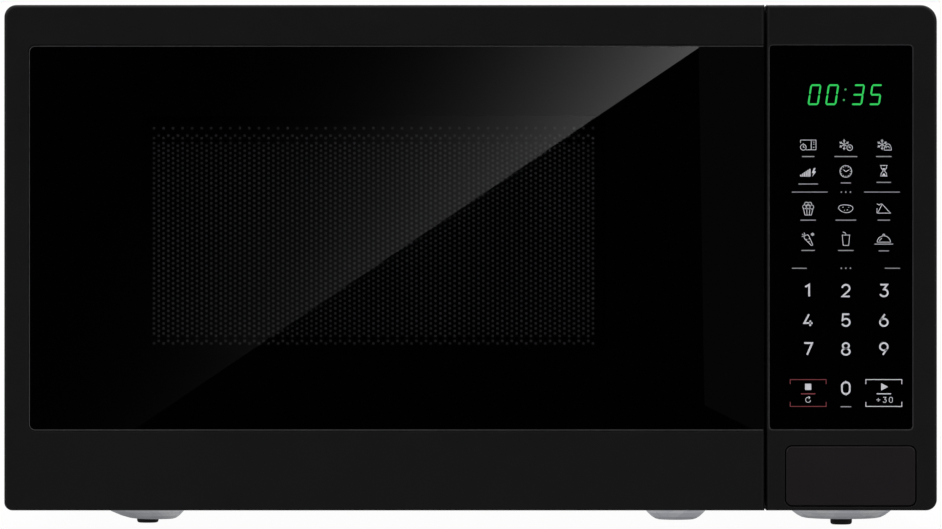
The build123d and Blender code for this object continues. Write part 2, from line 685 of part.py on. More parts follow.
with BuildPart() as rear_panel:
    slab(
        facing(PANEL_OUT),
        (0, (CASE_BOTTOM + INSIDE_TOP) / 2),
        (INSIDE_RIGHT - INSIDE_LEFT, INSIDE_TOP - CASE_BOTTOM),
        SHEET,
    )
    corners = rear_panel.edges().filter_by(Axis.Y).group_by(Axis.Z)[-1]
    fillet(corners, CABINET_CORNER - SHEET)
    standoff_left = CASE_LEFT + STANDOFF_FROM_SIDE
    crown_size = (STANDOFF_LENGTH - STANDOFF_TAPER, STANDOFF_WIDTH - STANDOFF_TAPER)
    for x in (standoff_left, standoff_left + STANDOFF_SPACING):
        with BuildSketch(facing(PANEL_OUT)) as foot_print:
            with Locations((x, (CASE_BOTTOM + CASE_TOP) / 2)):
                SlotOverall(STANDOFF_LENGTH, STANDOFF_WIDTH)
        with BuildSketch(facing(REAR)) as crown:
            with Locations((x, (CASE_BOTTOM + CASE_TOP) / 2)):
                SlotOverall(*crown_size)
        loft([foot_print.sketch, crown.sketch], ruled=True)
        with BuildSketch(facing(PANEL_IN)) as hollow_print:
            with Locations((x, (CASE_BOTTOM + CASE_TOP) / 2)):
                SlotOverall(STANDOFF_LENGTH - 2 * SHEET, STANDOFF_WIDTH - 2 * SHEET)
        with BuildSketch(facing(REAR - SHEET)) as hollow_crown:
            with Locations((x, (CASE_BOTTOM + CASE_TOP) / 2)):
                SlotOverall(crown_size[0] - 2 * SHEET, crown_size[1] - 2 * SHEET)
        loft([hollow_print.sketch, hollow_crown.sketch], ruled=True, mode=Mode.SUBTRACT)
    slots(
        facing(PANEL_OUT),
        (FAN_X, FAN_Z),
        (3, 10),
        (FAN_LOUVRE_COLUMN, FAN_LOUVRE_PITCH),
        (LOUVRE_LENGTH, LOUVRE_WIDTH),
        SHEET,
    )
    slots(
        facing(PANEL_OUT),
        (standoff_left, CASE_BOTTOM + REAR_LOUVRE_ABOVE),
        (4, 6),
        (REAR_LOUVRE_COLUMN, LOUVRE_PITCH),
        (LOUVRE_LENGTH, LOUVRE_WIDTH),
        SHEET,
    )
    rod(facing(PANEL_OUT), (CASE_RIGHT - GLAND_FROM_SIDE, GLAND_Z), GLAND_RADIUS, SHEET, Mode.SUBTRACT)
    for spot in rear_screws:
        rod(facing(PANEL_OUT), spot, SCREW_SHANK + SCREW_HOLE_GAP, SHEET, Mode.SUBTRACT)
save("rear_panel", rear_panel)

with BuildPart() as feet:
    for x, y, z in FOOT_SPOTS:
        rod(level(0), (x, y), FOOT_RADIUS, z)
    fillet(feet.edges().group_by(Axis.Z)[0], FOOT_EDGE)
    for x, y, z in FOOT_SPOTS:
        rod(level(z), (x, y), FOOT_STEM, SHEET)
        rod(level(z + SHEET), (x, y), FOOT_STEM + FOOT_BARB_LIP, FOOT_BARB)
save("feet", feet)

with BuildPart() as cabinet_screws:
    for spot in rear_screws:
        rod(facing(LIP_BACK + SCREW_HEAD_HEIGHT), spot, SCREW_HEAD, SCREW_HEAD_HEIGHT)
        rod(facing(LIP_BACK), spot, SCREW_SHANK, SCREW_LENGTH)
save("cabinet_screws", cabinet_screws)

with BuildPart() as cord_gland:
    gland_spot = (CASE_RIGHT - GLAND_FROM_SIDE, GLAND_Z)
    rod(facing(PANEL_OUT + GLAND_FLANGE), gland_spot, GLAND_RADIUS + GLAND_OUTER_LIP, GLAND_FLANGE)
    rod(facing(PANEL_OUT), gland_spot, GLAND_RADIUS, SHEET)
    rod(facing(PANEL_IN), gland_spot, GLAND_RADIUS + GLAND_INNER_LIP, GLAND_FLANGE * 2)
    gland_length = 3 * GLAND_FLANGE + SHEET
    rod(facing(PANEL_OUT + GLAND_FLANGE), gland_spot, GLAND_BORE, gland_length, Mode.SUBTRACT)
    outer_edges = cord_gland.edges().group_by(Axis.Y)[-1].filter_by(GeomType.CIRCLE)
    chamfer(outer_edges.sort_by(SortBy.RADIUS)[-1], GLAND_EDGE)
save("cord_gland", cord_gland)


# ---------------------------------------------------------------- cavity
with BuildPart() as cavity_liner:
    slab(
        facing(CAVITY_BACK + SHEET),
        (CAVITY_X, CAVITY_Z),
        (CAVITY_WIDTH + 2 * SHEET, CAVITY_HEIGHT + 2 * SHEET),
        CAVITY_DEPTH + SHEET,
        CAVITY_CORNER + SHEET,
    )
    rod(
        level(TRACK_FLOOR - SHEET),
        (CAVITY_X, CAVITY_Y),
        TRACK_RADIUS + TRACK_MARGIN + SHEET,
        RECESS_DEPTH + SHEET,
    )
    slab(
        facing(CAVITY_BACK),
        (CAVITY_X, CAVITY_Z),
        (CAVITY_WIDTH, CAVITY_HEIGHT),
        CAVITY_DEPTH,
        CAVITY_CORNER,
        Mode.SUBTRACT,
    )
    rod(
        level(TRACK_FLOOR),
        (CAVITY_X, CAVITY_Y),
        TRACK_RADIUS + TRACK_MARGIN,
        RECESS_DEPTH,
        Mode.SUBTRACT,
    )
    rod(
        level(TRACK_FLOOR - SHEET),
        (CAVITY_X, CAVITY_Y),
        COUPLER_STEM + COUPLER_STEM_ROOM,
        SHEET,
        Mode.SUBTRACT,
    )
    slab(
        across(CAVITY_RIGHT),
        (WAVEGUIDE_Y, WAVEGUIDE_Z),
        (FEED_WIDTH, FEED_HEIGHT),
        SHEET,
        mode=Mode.SUBTRACT,
    )
    lamp_y = PLATE_BACK + LAMP_START + HOLDER_LENGTH + LAMP_LENGTH / 2
    lamp_z = CAVITY_TOP - LAMP_FROM_TOP
    holes(across(CAVITY_RIGHT), (lamp_y, lamp_z), (4, 4), VENT_PITCH, VENT_HOLE, SHEET)
    duct_back = WAVEGUIDE_Y - WAVEGUIDE_LENGTH / 2 - WAVEGUIDE_FLANGE - DUCT_GAP
    duct_y = duct_back - DUCT_LENGTH / 2
    holes(across(CAVITY_RIGHT), (duct_y, WAVEGUIDE_Z), (3, 9), VENT_PITCH, VENT_HOLE, SHEET)
    vent_spot = (CAVITY_BACK - CAVITY_VENT_INSET, CAVITY_TOP - CAVITY_VENT_INSET)
    holes(across(CAVITY_LEFT - SHEET), vent_spot, (8, 6), VENT_PITCH, VENT_HOLE, SHEET)
save("cavity_liner", cavity_liner)

with BuildPart() as waveguide_cover:
    slab(
        across(CAVITY_RIGHT - MICA_THICK),
        (WAVEGUIDE_Y, WAVEGUIDE_Z),
        (FEED_WIDTH + 2 * MICA_MARGIN, FEED_HEIGHT + 2 * MICA_MARGIN),
        MICA_THICK,
        3,
    )
save("waveguide_cover", waveguide_cover)

with BuildPart() as waveguide:
    guide_size = (WAVEGUIDE_LENGTH, WAVEGUIDE_HEIGHT)
    guide_bore = (WAVEGUIDE_LENGTH - 2 * SHEET, WAVEGUIDE_HEIGHT - 2 * SHEET)
    slab(across(LINER_RIGHT), (WAVEGUIDE_Y, WAVEGUIDE_Z), guide_size, WAVEGUIDE_OUT)
    flange_size = (WAVEGUIDE_LENGTH + 2 * WAVEGUIDE_FLANGE, WAVEGUIDE_HEIGHT + 2 * WAVEGUIDE_FLANGE)
    slab(across(LINER_RIGHT), (WAVEGUIDE_Y, WAVEGUIDE_Z), flange_size, SHEET)
    slab(
        across(LINER_RIGHT),
        (WAVEGUIDE_Y, WAVEGUIDE_Z),
        guide_bore,
        WAVEGUIDE_OUT - SHEET,
        mode=Mode.SUBTRACT,
    )
    rod(
        across(WAVEGUIDE_RIGHT - SHEET),
        (WAVEGUIDE_Y, WAVEGUIDE_Z),
        ANTENNA_RADIUS + ANTENNA_GAP,
        SHEET,
        Mode.SUBTRACT,
    )
save("waveguide", waveguide)

with BuildPart() as lamp_holder:
    lamp_x = LINER_RIGHT + LAMP_FROM_CAVITY
    holder_back = PLATE_BACK + LAMP_START + HOLDER_LENGTH
    rod(facing(holder_back), (lamp_x, lamp_z), HOLDER_RADIUS, HOLDER_LENGTH)
    block(
        (LINER_RIGHT, lamp_x),
        (holder_back - 2 * HOLDER_ARM, holder_back - HOLDER_ARM),
        (lamp_z - HOLDER_RADIUS, lamp_z + HOLDER_RADIUS),
    )
    block(
        (LINER_RIGHT, LINER_RIGHT + HOLDER_FOOT_THICK),
        (holder_back - HOLDER_ARM - HOLDER_FOOT_WIDTH, holder_back - HOLDER_ARM),
        (lamp_z - HOLDER_RADIUS - HOLDER_FOOT_REACH, lamp_z + HOLDER_RADIUS + HOLDER_FOOT_REACH),
    )
save("lamp_holder", lamp_holder)

with BuildPart() as cavity_lamp:
    rod(facing(holder_back + LAMP_NECK), (lamp_x, lamp_z), LAMP_NECK_RADIUS, LAMP_NECK)
    rod(facing(holder_back + LAMP_LENGTH), (lamp_x, lamp_z), LAMP_RADIUS, LAMP_LENGTH - LAMP_NECK)
    fillet(cavity_lamp.edges().filter_by(GeomType.CIRCLE).group_by(Axis.Y)[-1], LAMP_RADIUS * 0.9)
    shoulder = cavity_lamp.edges().filter_by(GeomType.CIRCLE).group_by(Axis.Y)[1]
    fillet(shoulder.sort_by(SortBy.RADIUS)[-1], LAMP_RADIUS * 0.2)
save("cavity_lamp", cavity_lamp)

with BuildPart() as thermal_cutout:
    cutout_spot = (CAVITY_RIGHT - CUTOUT_FROM_RIGHT, CAVITY_BACK - CUTOUT_FROM_BACK)
    cutout_low = CAVITY_TOP + SHEET
    rod(level(cutout_low), cutout_spot, CUTOUT_RADIUS, CUTOUT_HEIGHT)
    ear_size = (CUTOUT_RADIUS * 4, CUTOUT_EAR_WIDTH)
    slab(level(cutout_low), cutout_spot, ear_size, CUTOUT_EAR_THICK, CUTOUT_EAR_WIDTH * 0.4)
    for side in (-1, 1):
        blade_x = cutout_spot[0] + side * CUTOUT_BLADE_SPACING / 2
        block(
            (blade_x - TERMINAL_WIDTH / 2, blade_x + TERMINAL_WIDTH / 2),
            (cutout_spot[1] - TERMINAL_THICK / 2, cutout_spot[1] + TERMINAL_THICK / 2),
            (cutout_low + CUTOUT_HEIGHT, cutout_low + CUTOUT_HEIGHT + CUTOUT_BLADE),
        )
save("thermal_cutout", thermal_cutout)

# ---------------------------------------------------------------- turntable
with BuildPart() as turntable_motor:
    motor_top = TRACK_FLOOR - SHEET
    rod(
        level(motor_top - TURNTABLE_MOTOR_HEIGHT),
        (CAVITY_X, CAVITY_Y),
        TURNTABLE_MOTOR_RADIUS,
        TURNTABLE_MOTOR_HEIGHT,
    )
    motor_low = motor_top - TURNTABLE_MOTOR_HEIGHT
    motor_front_edge = CAVITY_Y - TURNTABLE_MOTOR_RADIUS
    slab(
        level(motor_top - MOTOR_EAR_THICK),
        (CAVITY_X, CAVITY_Y),
        (2 * TURNTABLE_MOTOR_RADIUS + 2 * MOTOR_EAR_REACH, MOTOR_EAR_WIDTH),
        MOTOR_EAR_THICK,
        MOTOR_EAR_WIDTH * 0.4,
    )
    block(
        (CAVITY_X - MOTOR_PLUG_WIDTH / 2, CAVITY_X + MOTOR_PLUG_WIDTH / 2),
        (motor_front_edge - MOTOR_PLUG_REACH, motor_front_edge + MOTOR_PLUG_ROOT),
        (motor_low, motor_top - SOCKET_FLOOR),
    )
    rod(
        level(motor_low + SOCKET_FLOOR),
        (CAVITY_X, CAVITY_Y),
        COUPLER_STEM + RUNNING,
        TURNTABLE_MOTOR_HEIGHT,
        Mode.SUBTRACT,
    )
save("turntable_motor", turntable_motor)

with BuildPart() as turntable_coupler:
    hub_top = TRAY_BOTTOM - COUPLER_ARM_HEIGHT
    stem_bottom = motor_low + SOCKET_FLOOR + SOCKET_GAP
    rod(level(stem_bottom), (CAVITY_X, CAVITY_Y), COUPLER_STEM, hub_top - stem_bottom)
    rod(level(TRACK_FLOOR + CLEAR), (CAVITY_X, CAVITY_Y), COUPLER_RADIUS, hub_top - TRACK_FLOOR - CLEAR)
    rod(level(hub_top), (CAVITY_X, CAVITY_Y), COUPLER_ARM_WIDTH, COUPLER_ARM_HEIGHT)
    with BuildSketch(level(hub_top)) as arms:
        with Locations((CAVITY_X, CAVITY_Y)):
            with PolarLocations(COUPLER_ARM_LENGTH / 2, ROLLER_COUNT):
                SlotOverall(COUPLER_ARM_LENGTH + COUPLER_ARM_WIDTH, COUPLER_ARM_WIDTH)
    extrude(arms.sketch, amount=COUPLER_ARM_HEIGHT)
save("turntable_coupler", turntable_coupler)

with BuildPart() as glass_tray:
    inner = TRAY_RADIUS - TRAY_RIM_WIDTH
    with BuildSketch(Plane.XZ.offset(-CAVITY_Y)) as tray_profile:
        with BuildLine():
            Polyline(
                (CAVITY_X, TRAY_BOTTOM),
                (CAVITY_X + inner + TRAY_BEND, TRAY_BOTTOM),
                (CAVITY_X + TRAY_RADIUS, TRAY_BOTTOM + TRAY_RIM_HEIGHT - TRAY_RIM_THICK),
                (CAVITY_X + TRAY_RADIUS, TRAY_BOTTOM + TRAY_RIM_HEIGHT),
                (CAVITY_X + TRAY_RADIUS - TRAY_RIM_FLAT, TRAY_BOTTOM + TRAY_RIM_HEIGHT),
                (CAVITY_X + inner - TRAY_BEND, TRAY_BOTTOM + TRAY_THICK),
                (CAVITY_X, TRAY_BOTTOM + TRAY_THICK),
                close=True,
            )
        make_face()
    revolve(axis=Axis((CAVITY_X, CAVITY_Y, 0), (0, 0, 1)))
    key_height = COUPLER_ARM_HEIGHT - CLEAR
    with BuildSketch(level(TRAY_BOTTOM - key_height)) as keys:
        with Locations((CAVITY_X, CAVITY_Y)):
            Circle(COUPLER_ARM_LENGTH + COUPLER_ARM_WIDTH / 2)
            Circle(COUPLER_ARM_WIDTH + CLEAR, mode=Mode.SUBTRACT)
            with PolarLocations(COUPLER_ARM_LENGTH / 2, ROLLER_COUNT):
                SlotOverall(
                    2 * COUPLER_ARM_LENGTH + COUPLER_ARM_WIDTH,
                    COUPLER_ARM_WIDTH + 4 * CLEAR,
                    mode=Mode.SUBTRACT,
                )
    extrude(keys.sketch, amount=key_height)
save("glass_tray", glass_tray)

with BuildPart() as roller_ring:
    ring_outer = TRACK_RADIUS - ROLLER_WIDTH / 2 - RING_INSET
    axle_length = AXLE_ROOT + ROLLER_WIDTH + 2 * ROLLER_END_GAP
    with BuildSketch(level(AXLE_Z - RING_SECTION / 2)) as band:
        with Locations((CAVITY_X, CAVITY_Y)):
            Circle(ring_outer)
            Circle(ring_outer - RING_SECTION, mode=Mode.SUBTRACT)
    extrude(band.sketch, amount=RING_SECTION)
    for index in range(ROLLER_COUNT):
        angle = 360 / ROLLER_COUNT * index
        outward = Vector(cos(radians(angle)), sin(radians(angle)), 0)
        start = Vector(CAVITY_X, CAVITY_Y, AXLE_Z) + outward * (ring_outer - AXLE_ROOT)
        rod(Plane(start, z_dir=outward), (0, 0), ROLLER_AXLE, axle_length + AXLE_CAP)
        cap = start + outward * axle_length
        rod(Plane(cap, z_dir=outward), (0, 0), ROLLER_AXLE + AXLE_CAP_LIP, AXLE_CAP)
save("roller_ring", roller_ring)

for index in range(ROLLER_COUNT):
    angle = 360 / ROLLER_COUNT * index
    outward = Vector(cos(radians(angle)), sin(radians(angle)), 0)
    start = Vector(CAVITY_X, CAVITY_Y, AXLE_Z) + outward * (ring_outer + ROLLER_END_GAP)
    with BuildPart() as roller:
        rod(Plane(start, z_dir=outward), (0, 0), ROLLER_RADIUS, ROLLER_WIDTH)
        fillet(roller.edges().filter_by(GeomType.CIRCLE), 1)
        rod(Plane(start, z_dir=outward), (0, 0), ROLLER_AXLE + RUNNING, ROLLER_WIDTH, Mode.SUBTRACT)
    save(f"roller_{index + 1}", roller)

# ---------------------------------------------------------------- door
door_x = (LEFT + DOOR_RIGHT) / 2
door_width = DOOR_RIGHT - LEFT
front_z = (BOTTOM + TOP) / 2
glass_left = LEFT + GLASS_LEFT_RAIL
glass_top = TOP - GLASS_TOP_RAIL
glass_bottom = BOTTOM + GLASS_BOTTOM_RAIL
glass_front = FACE + GLASS_INSET
glass_back = glass_front + GLASS_THICK
window_left = LEFT + WINDOW_LEFT_RAIL
window_right = DOOR_RIGHT - WINDOW_RIGHT_RAIL
window_top = TOP - WINDOW_TOP_RAIL
window_bottom = BOTTOM + WINDOW_BOTTOM_RAIL
window_spot = ((window_left + window_right) / 2, (window_top + window_bottom) / 2)
window_size = (window_right - window_left, window_top - window_bottom)
choke_left = LEFT + CHOKE_LEFT_MARGIN
choke_right = DOOR_RIGHT - CHOKE_RIGHT_MARGIN
choke_top = TOP - CHOKE_TOP_MARGIN
choke_bottom = BOTTOM + CHOKE_BOTTOM_MARGIN
choke_spot = ((choke_left + choke_right) / 2, (choke_top + choke_bottom) / 2)
choke_size = (choke_right - choke_left, choke_top - choke_bottom)
cover_back = PLATE_FRONT - CHOKE_COVER_GAP
cover_front = cover_back - CHOKE_COVER_THICK
tab_top = TOP - HINGE_TAB_FROM_EDGE
tab_low = BOTTOM + HINGE_TAB_FROM_EDGE

with BuildPart() as door_frame:
    with BuildSketch(facing(FRAME_BACK)) as outline:
        with Locations((door_x, front_z)):
            Rectangle(door_width, FRONT_HEIGHT)
        left_corners = outline.vertices().group_by(Axis.X)[0].sort_by(Axis.Y)
        fillet(left_corners[-1], CORNER_TOP_LEFT)
        fillet(outline.vertices().group_by(Axis.X)[0].sort_by(Axis.Y)[0], CORNER_BOTTOM_LEFT)
    extrude(amount=DOOR_DEPTH)
    front_edges = door_frame.edges().group_by(Axis.Y)[0]
    fillet(front_edges, FRONT_EDGE_ROUND)
    slab(
        facing(FRAME_BACK),
        (door_x, front_z),
        (door_width - 2 * WALL, FRONT_HEIGHT - 2 * WALL),
        DOOR_DEPTH - FACE_WALL,
        WALL,
        Mode.SUBTRACT,
    )
    with BuildSketch(facing(glass_back)) as recess:
        with Locations(((glass_left + DOOR_RIGHT) / 2 - GLASS_GAP / 2, (glass_top + glass_bottom) / 2)):
            Rectangle(DOOR_RIGHT - glass_left + GLASS_GAP, glass_top - glass_bottom + 2 * GLASS_GAP)
        fillet(recess.vertices().group_by(Axis.X)[0], GLASS_CORNER)
    extrude(amount=GLASS_INSET + GLASS_THICK, mode=Mode.SUBTRACT)
    slab(
        facing(FACE_BACK),
        window_spot,
        window_size,
        FACE_WALL,
        WINDOW_CORNER,
        Mode.SUBTRACT,
    )
    for tab_z, block_z in (
        (tab_top - HINGE_STEEL, tab_top - HINGE_STEEL - HINGE_BLOCK_GAP - HINGE_BLOCK),
        (tab_low, tab_low + HINGE_STEEL + HINGE_BLOCK_GAP),
    ):
        block(
            (LEFT + WALL / 2, PIVOT_X + HINGE_BLOCK_WIDTH / 2),
            (PIVOT_Y - HINGE_BLOCK_WIDTH / 2, PIVOT_Y + HINGE_BLOCK_WIDTH / 2),
            (block_z, block_z + HINGE_BLOCK),
        )
        rod(level(block_z), (PIVOT_X, PIVOT_Y), HINGE_PIN + RUNNING, HINGE_BLOCK, Mode.SUBTRACT)
        block(
            (LEFT, LEFT + WALL),
            (PIVOT_Y - HINGE_TAB_WIDTH / 2 - NOTCH_REACH, FRAME_BACK),
            (tab_z - NOTCH_CLEAR, tab_z + HINGE_STEEL + NOTCH_CLEAR),
            Mode.SUBTRACT,
        )
    guide_left = HOOK_X + HOOK_THICK / 2 + CLEAR
    bar_back = FRAME_BACK - HOOK_BAR_INSET
    bar_front = bar_back - HOOK_BAR_DEPTH
    for guide_z in (HOOK_BOTTOM + GUIDE_FROM_END, HOOK_TOP - GUIDE_FROM_END):
        block(
            (guide_left, DOOR_RIGHT - WALL / 2),
            (bar_front, bar_back),
            (guide_z - GUIDE_HEIGHT / 2, guide_z + GUIDE_HEIGHT / 2),
        )
    spring_top = HOOK_TOP + HOOK_SPRING_LENGTH
    for shelf_z in (HOOK_BOTTOM - CLEAR - SHELF_THICK, spring_top):
        block(
            (HOOK_X - SHELF_REACH, DOOR_RIGHT - WALL / 2),
            (bar_front, bar_back),
            (shelf_z, shelf_z + SHELF_THICK),
        )
save("door_frame", door_frame)

with BuildPart() as door_glass:
    with BuildSketch(facing(glass_back)) as pane:
        with Locations(((glass_left + DOOR_RIGHT - GLASS_SIDE_GAP) / 2, (glass_top + glass_bottom) / 2)):
            Rectangle(DOOR_RIGHT - GLASS_SIDE_GAP - glass_left, glass_top - glass_bottom)
        fillet(pane.vertices().group_by(Axis.X)[0], GLASS_CORNER - GLASS_GAP)
        fillet(pane.vertices().group_by(Axis.X)[-1], GLASS_GAP)
    extrude(amount=GLASS_THICK)
save("door_glass", door_glass)

with BuildPart() as door_screen:
    slab(facing(FACE_BACK + SHEET), choke_spot, choke_size, SHEET, CHOKE_CORNER)
    rim_depth = cover_front - FACE_BACK
    with BuildSketch(facing(cover_front)) as rim:
        with Locations(choke_spot):
            Rectangle(*choke_size)
        fillet(rim.vertices(), CHOKE_CORNER)
        with Locations(choke_spot):
            Rectangle(choke_size[0] - 2 * SHEET, choke_size[1] - 2 * SHEET, mode=Mode.SUBTRACT)
    extrude(rim.sketch, amount=rim_depth)
save("door_screen", door_screen)

with BuildPart() as choke_cover:
    slab(facing(cover_back), choke_spot, choke_size, CHOKE_COVER_THICK, CHOKE_CORNER)
    lip_size = (window_size[0] + 2 * INNER_WINDOW_LIP, window_size[1] + 2 * INNER_WINDOW_LIP)
    skirt_depth = cover_front - FACE_BACK - SHEET
    slab(
        facing(cover_front),
        window_spot,
        (lip_size[0] + 2 * WALL, lip_size[1] + 2 * WALL),
        skirt_depth,
        WINDOW_CORNER,
    )
    slab(facing(cover_front), window_spot, lip_size, skirt_depth, INNER_WINDOW_CORNER, Mode.SUBTRACT)
    slab(
        facing(cover_back),
        window_spot,
        window_size,
        CHOKE_COVER_THICK,
        INNER_WINDOW_CORNER,
        Mode.SUBTRACT,
    )
save("choke_cover", choke_cover)

with BuildPart() as inner_window:
    film_size = (lip_size[0] - 2 * INNER_WINDOW_GAP, lip_size[1] - 2 * INNER_WINDOW_GAP)
    slab(facing(cover_front), window_spot, film_size, INNER_WINDOW_THICK, INNER_WINDOW_CORNER)
save("inner_window", inner_window)

for name, tab_z, pin_z, plate_z in (
    ("upper_hinge", tab_top - HINGE_STEEL, tab_top - HINGE_STEEL - HINGE_PIN_LENGTH, -1),
    ("lower_hinge", tab_low, tab_low + HINGE_STEEL, 1),
):
    with BuildPart() as hinge:
        plate_low = tab_z + HINGE_STEEL / 2 + plate_z * HINGE_PLATE_HEIGHT / 3 - HINGE_PLATE_HEIGHT / 2
        block(
            (INSIDE_LEFT + HINGE_PLATE_GAP, INSIDE_LEFT + HINGE_PLATE_GAP + HINGE_PLATE_WIDTH),
            (PLATE_BACK, PLATE_BACK + HINGE_STEEL),
            (plate_low, plate_low + HINGE_PLATE_HEIGHT),
        )
        block(
            (PIVOT_X - HINGE_TAB_WIDTH / 2, PIVOT_X + HINGE_TAB_WIDTH / 2),
            (PIVOT_Y, PLATE_BACK + HINGE_STEEL),
            (tab_z, tab_z + HINGE_STEEL),
        )
        rod(level(tab_z), (PIVOT_X, PIVOT_Y), HINGE_TAB_WIDTH / 2, HINGE_STEEL)
        rod(level(pin_z), (PIVOT_X, PIVOT_Y), HINGE_PIN, HINGE_PIN_LENGTH)
    save(name, hinge)

with BuildPart() as door_hook:
    hook_sides = (HOOK_X - HOOK_THICK / 2, HOOK_X + HOOK_THICK / 2)
    block(hook_sides, (bar_front, bar_back), (HOOK_BOTTOM, HOOK_TOP))
    for hook_z in (HOOK_UPPER_Z, HOOK_LOWER_Z):
        low = hook_z - HOOK_ARM_HEIGHT / 2
        high = hook_z + HOOK_ARM_HEIGHT / 2
        with BuildSketch(across(HOOK_X - HOOK_THICK / 2)) as arm:
            with BuildLine():
                Polyline(
                    (bar_back, low + HOOK_BARB),
                    (HOOK_TIP - HOOK_BARB_LENGTH, low + HOOK_BARB),
                    (HOOK_TIP - HOOK_BARB_LENGTH, low),
                    (HOOK_TIP - HOOK_BEVEL, low),
                    (HOOK_TIP, low + HOOK_LEAD),
                    (HOOK_TIP, high - HOOK_BEVEL),
                    (HOOK_TIP - HOOK_BEVEL, high),
                    (bar_back, high),
                    close=True,
                )
            make_face()
        extrude(arm.sketch, amount=HOOK_THICK)
save("door_hook", door_hook)

with BuildPart() as hook_spring:
    spring_y = (bar_front + bar_back) / 2
    coil(
        Plane((HOOK_X, spring_y, HOOK_TOP), z_dir=(0, 0, 1)),
        HOOK_SPRING_RADIUS,
        HOOK_SPRING_LENGTH,
        SPRING_TURNS,
    )
save("hook_spring", hook_spring)

# ---------------------------------------------------------------- latch and door button
latch_low = HOOK_LOWER_Z - LATCH_BELOW
latch_high = HOOK_UPPER_Z + LATCH_ABOVE
lug_x = LATCH_X + LATCH_LUG_OFFSET

with BuildPart() as latch_board:
    block((LATCH_X, LATCH_X + LATCH_PLATE), (PLATE_BACK, PLATE_BACK + LATCH_DEPTH), (latch_low, latch_high))
    block((LATCH_X, lug_x + LATCH_PLATE), (PLATE_BACK, PLATE_BACK + LATCH_FLANGE), (latch_low, latch_high))
    block(
        (lug_x, lug_x + LATCH_PLATE),
        (PLATE_BACK, LEVER_Y + 3 * LEVER_SHAFT),
        (LEVER_Z - 3 * LEVER_SHAFT, LEVER_Z + 3 * LEVER_SHAFT),
    )
    rod(
        across(LATCH_X),
        (LEVER_Y, LEVER_Z),
        LEVER_SHAFT + RUNNING,
        LATCH_LUG_OFFSET + LATCH_PLATE,
        Mode.SUBTRACT,
    )
save("latch_board", latch_board)

with BuildPart() as release_lever:
    arm_sides = (STEM_X - LEVER_ARM_WIDTH / 2, STEM_X + LEVER_ARM_WIDTH / 2)
    finger_sides = (HOOK_X - FINGER_WIDTH / 2, HOOK_X + FINGER_WIDTH / 2)
    rod(across(finger_sides[0]), (LEVER_Y, LEVER_Z), LEVER_SHAFT, arm_sides[1] - finger_sides[0])
    block(finger_sides, (LEVER_Y, LEVER_Y + FINGER_BACK), (LEVER_Z - LEVER_SHAFT, LEVER_Z + LEVER_SHAFT))
    block(
        finger_sides,
        (LEVER_Y + FINGER_FRONT, LEVER_Y + FINGER_BACK),
        (LEVER_Z, HOOK_BOTTOM - CLEAR),
    )
    block(
        arm_sides,
        (LEVER_Y - LEVER_FACE, LEVER_Y + LEVER_FACE),
        (BUTTON_Z - STEM, LEVER_Z + LEVER_SHAFT),
    )
save("release_lever", release_lever)

with BuildPart() as door_button:
    button_back = FACE + BUTTON_DEPTH
    slab(facing(button_back), (BUTTON_X, BUTTON_Z), (BUTTON_WIDTH, BUTTON_HEIGHT), BUTTON_DEPTH, BUTTON_CORNER)
    fillet(door_button.edges().group_by(Axis.Y)[0], 0.8)
    slab(
        facing(button_back),
        (BUTTON_X, BUTTON_Z),
        (BUTTON_WIDTH - 2 * WALL, BUTTON_HEIGHT - 2 * WALL),
        BUTTON_DEPTH - WALL,
        mode=Mode.SUBTRACT,
    )
    stem_length = STEM_TIP - FACE - WALL / 2
    slab(facing(STEM_TIP), (STEM_X, BUTTON_Z), (STEM, STEM), stem_length)
    fillet(door_button.edges().filter_by(Axis.X).group_by(Axis.Y)[-1], STEM * 0.48)
save("door_button", door_button)

with BuildPart() as button_spring:
    coil(
        Plane((STEM_X, FACE + WALL, BUTTON_Z), z_dir=(0, 1, 0)),
        BUTTON_SPRING_RADIUS,
        PLATE_FRONT - FACE - WALL,
        SPRING_TURNS + 3,
    )
save("button_spring", button_spring)

switch_front = HOOK_TIP + CLEAR + PLUNGER_OUT
plunger_length = PLUNGER_OUT + PLUNGER_INSIDE
lower_switch_z = HOOK_LOWER_Z - SWITCH_SPACING / 2
upper_switch_z = HOOK_LOWER_Z + SWITCH_SPACING / 2
for name, plunger_z, upward in (
    ("primary", HOOK_UPPER_Z, 1),
    ("monitor", upper_switch_z, 1),
    ("secondary", lower_switch_z, -1),
):
    near_end = plunger_z - upward * SWITCH_BUTTON_OFFSET
    far_end = near_end + upward * SWITCH_HEIGHT
    switch_x = LATCH_X - SWITCH_WIDTH / 2
    with BuildPart() as switch:
        block(
            (LATCH_X - SWITCH_WIDTH, LATCH_X),
            (switch_front, switch_front + SWITCH_DEPTH),
            (near_end, far_end),
        )
        for share in (0.15, 0.5, 0.85):
            blade_z = near_end + share * (far_end - near_end)
            block(
                (switch_x - TERMINAL_WIDTH / 2, switch_x + TERMINAL_WIDTH / 2),
                (switch_front + SWITCH_DEPTH, switch_front + SWITCH_DEPTH + TERMINAL_LENGTH),
                (blade_z - TERMINAL_THICK / 2, blade_z + TERMINAL_THICK / 2),
            )
        rod(
            facing(switch_front + plunger_length + PLUNGER_TRAVEL),
            (switch_x, plunger_z),
            PLUNGER_RADIUS + RUNNING,
            plunger_length + PLUNGER_TRAVEL,
            Mode.SUBTRACT,
        )
    save(f"{name}_switch", switch)
    with BuildPart() as plunger:
        rod(facing(HOOK_TIP + CLEAR + plunger_length), (switch_x, plunger_z), PLUNGER_RADIUS, plunger_length)
        fillet(plunger.edges().group_by(Axis.Y)[0], PLUNGER_RADIUS / 2)
    save(f"{name}_plunger", plunger)

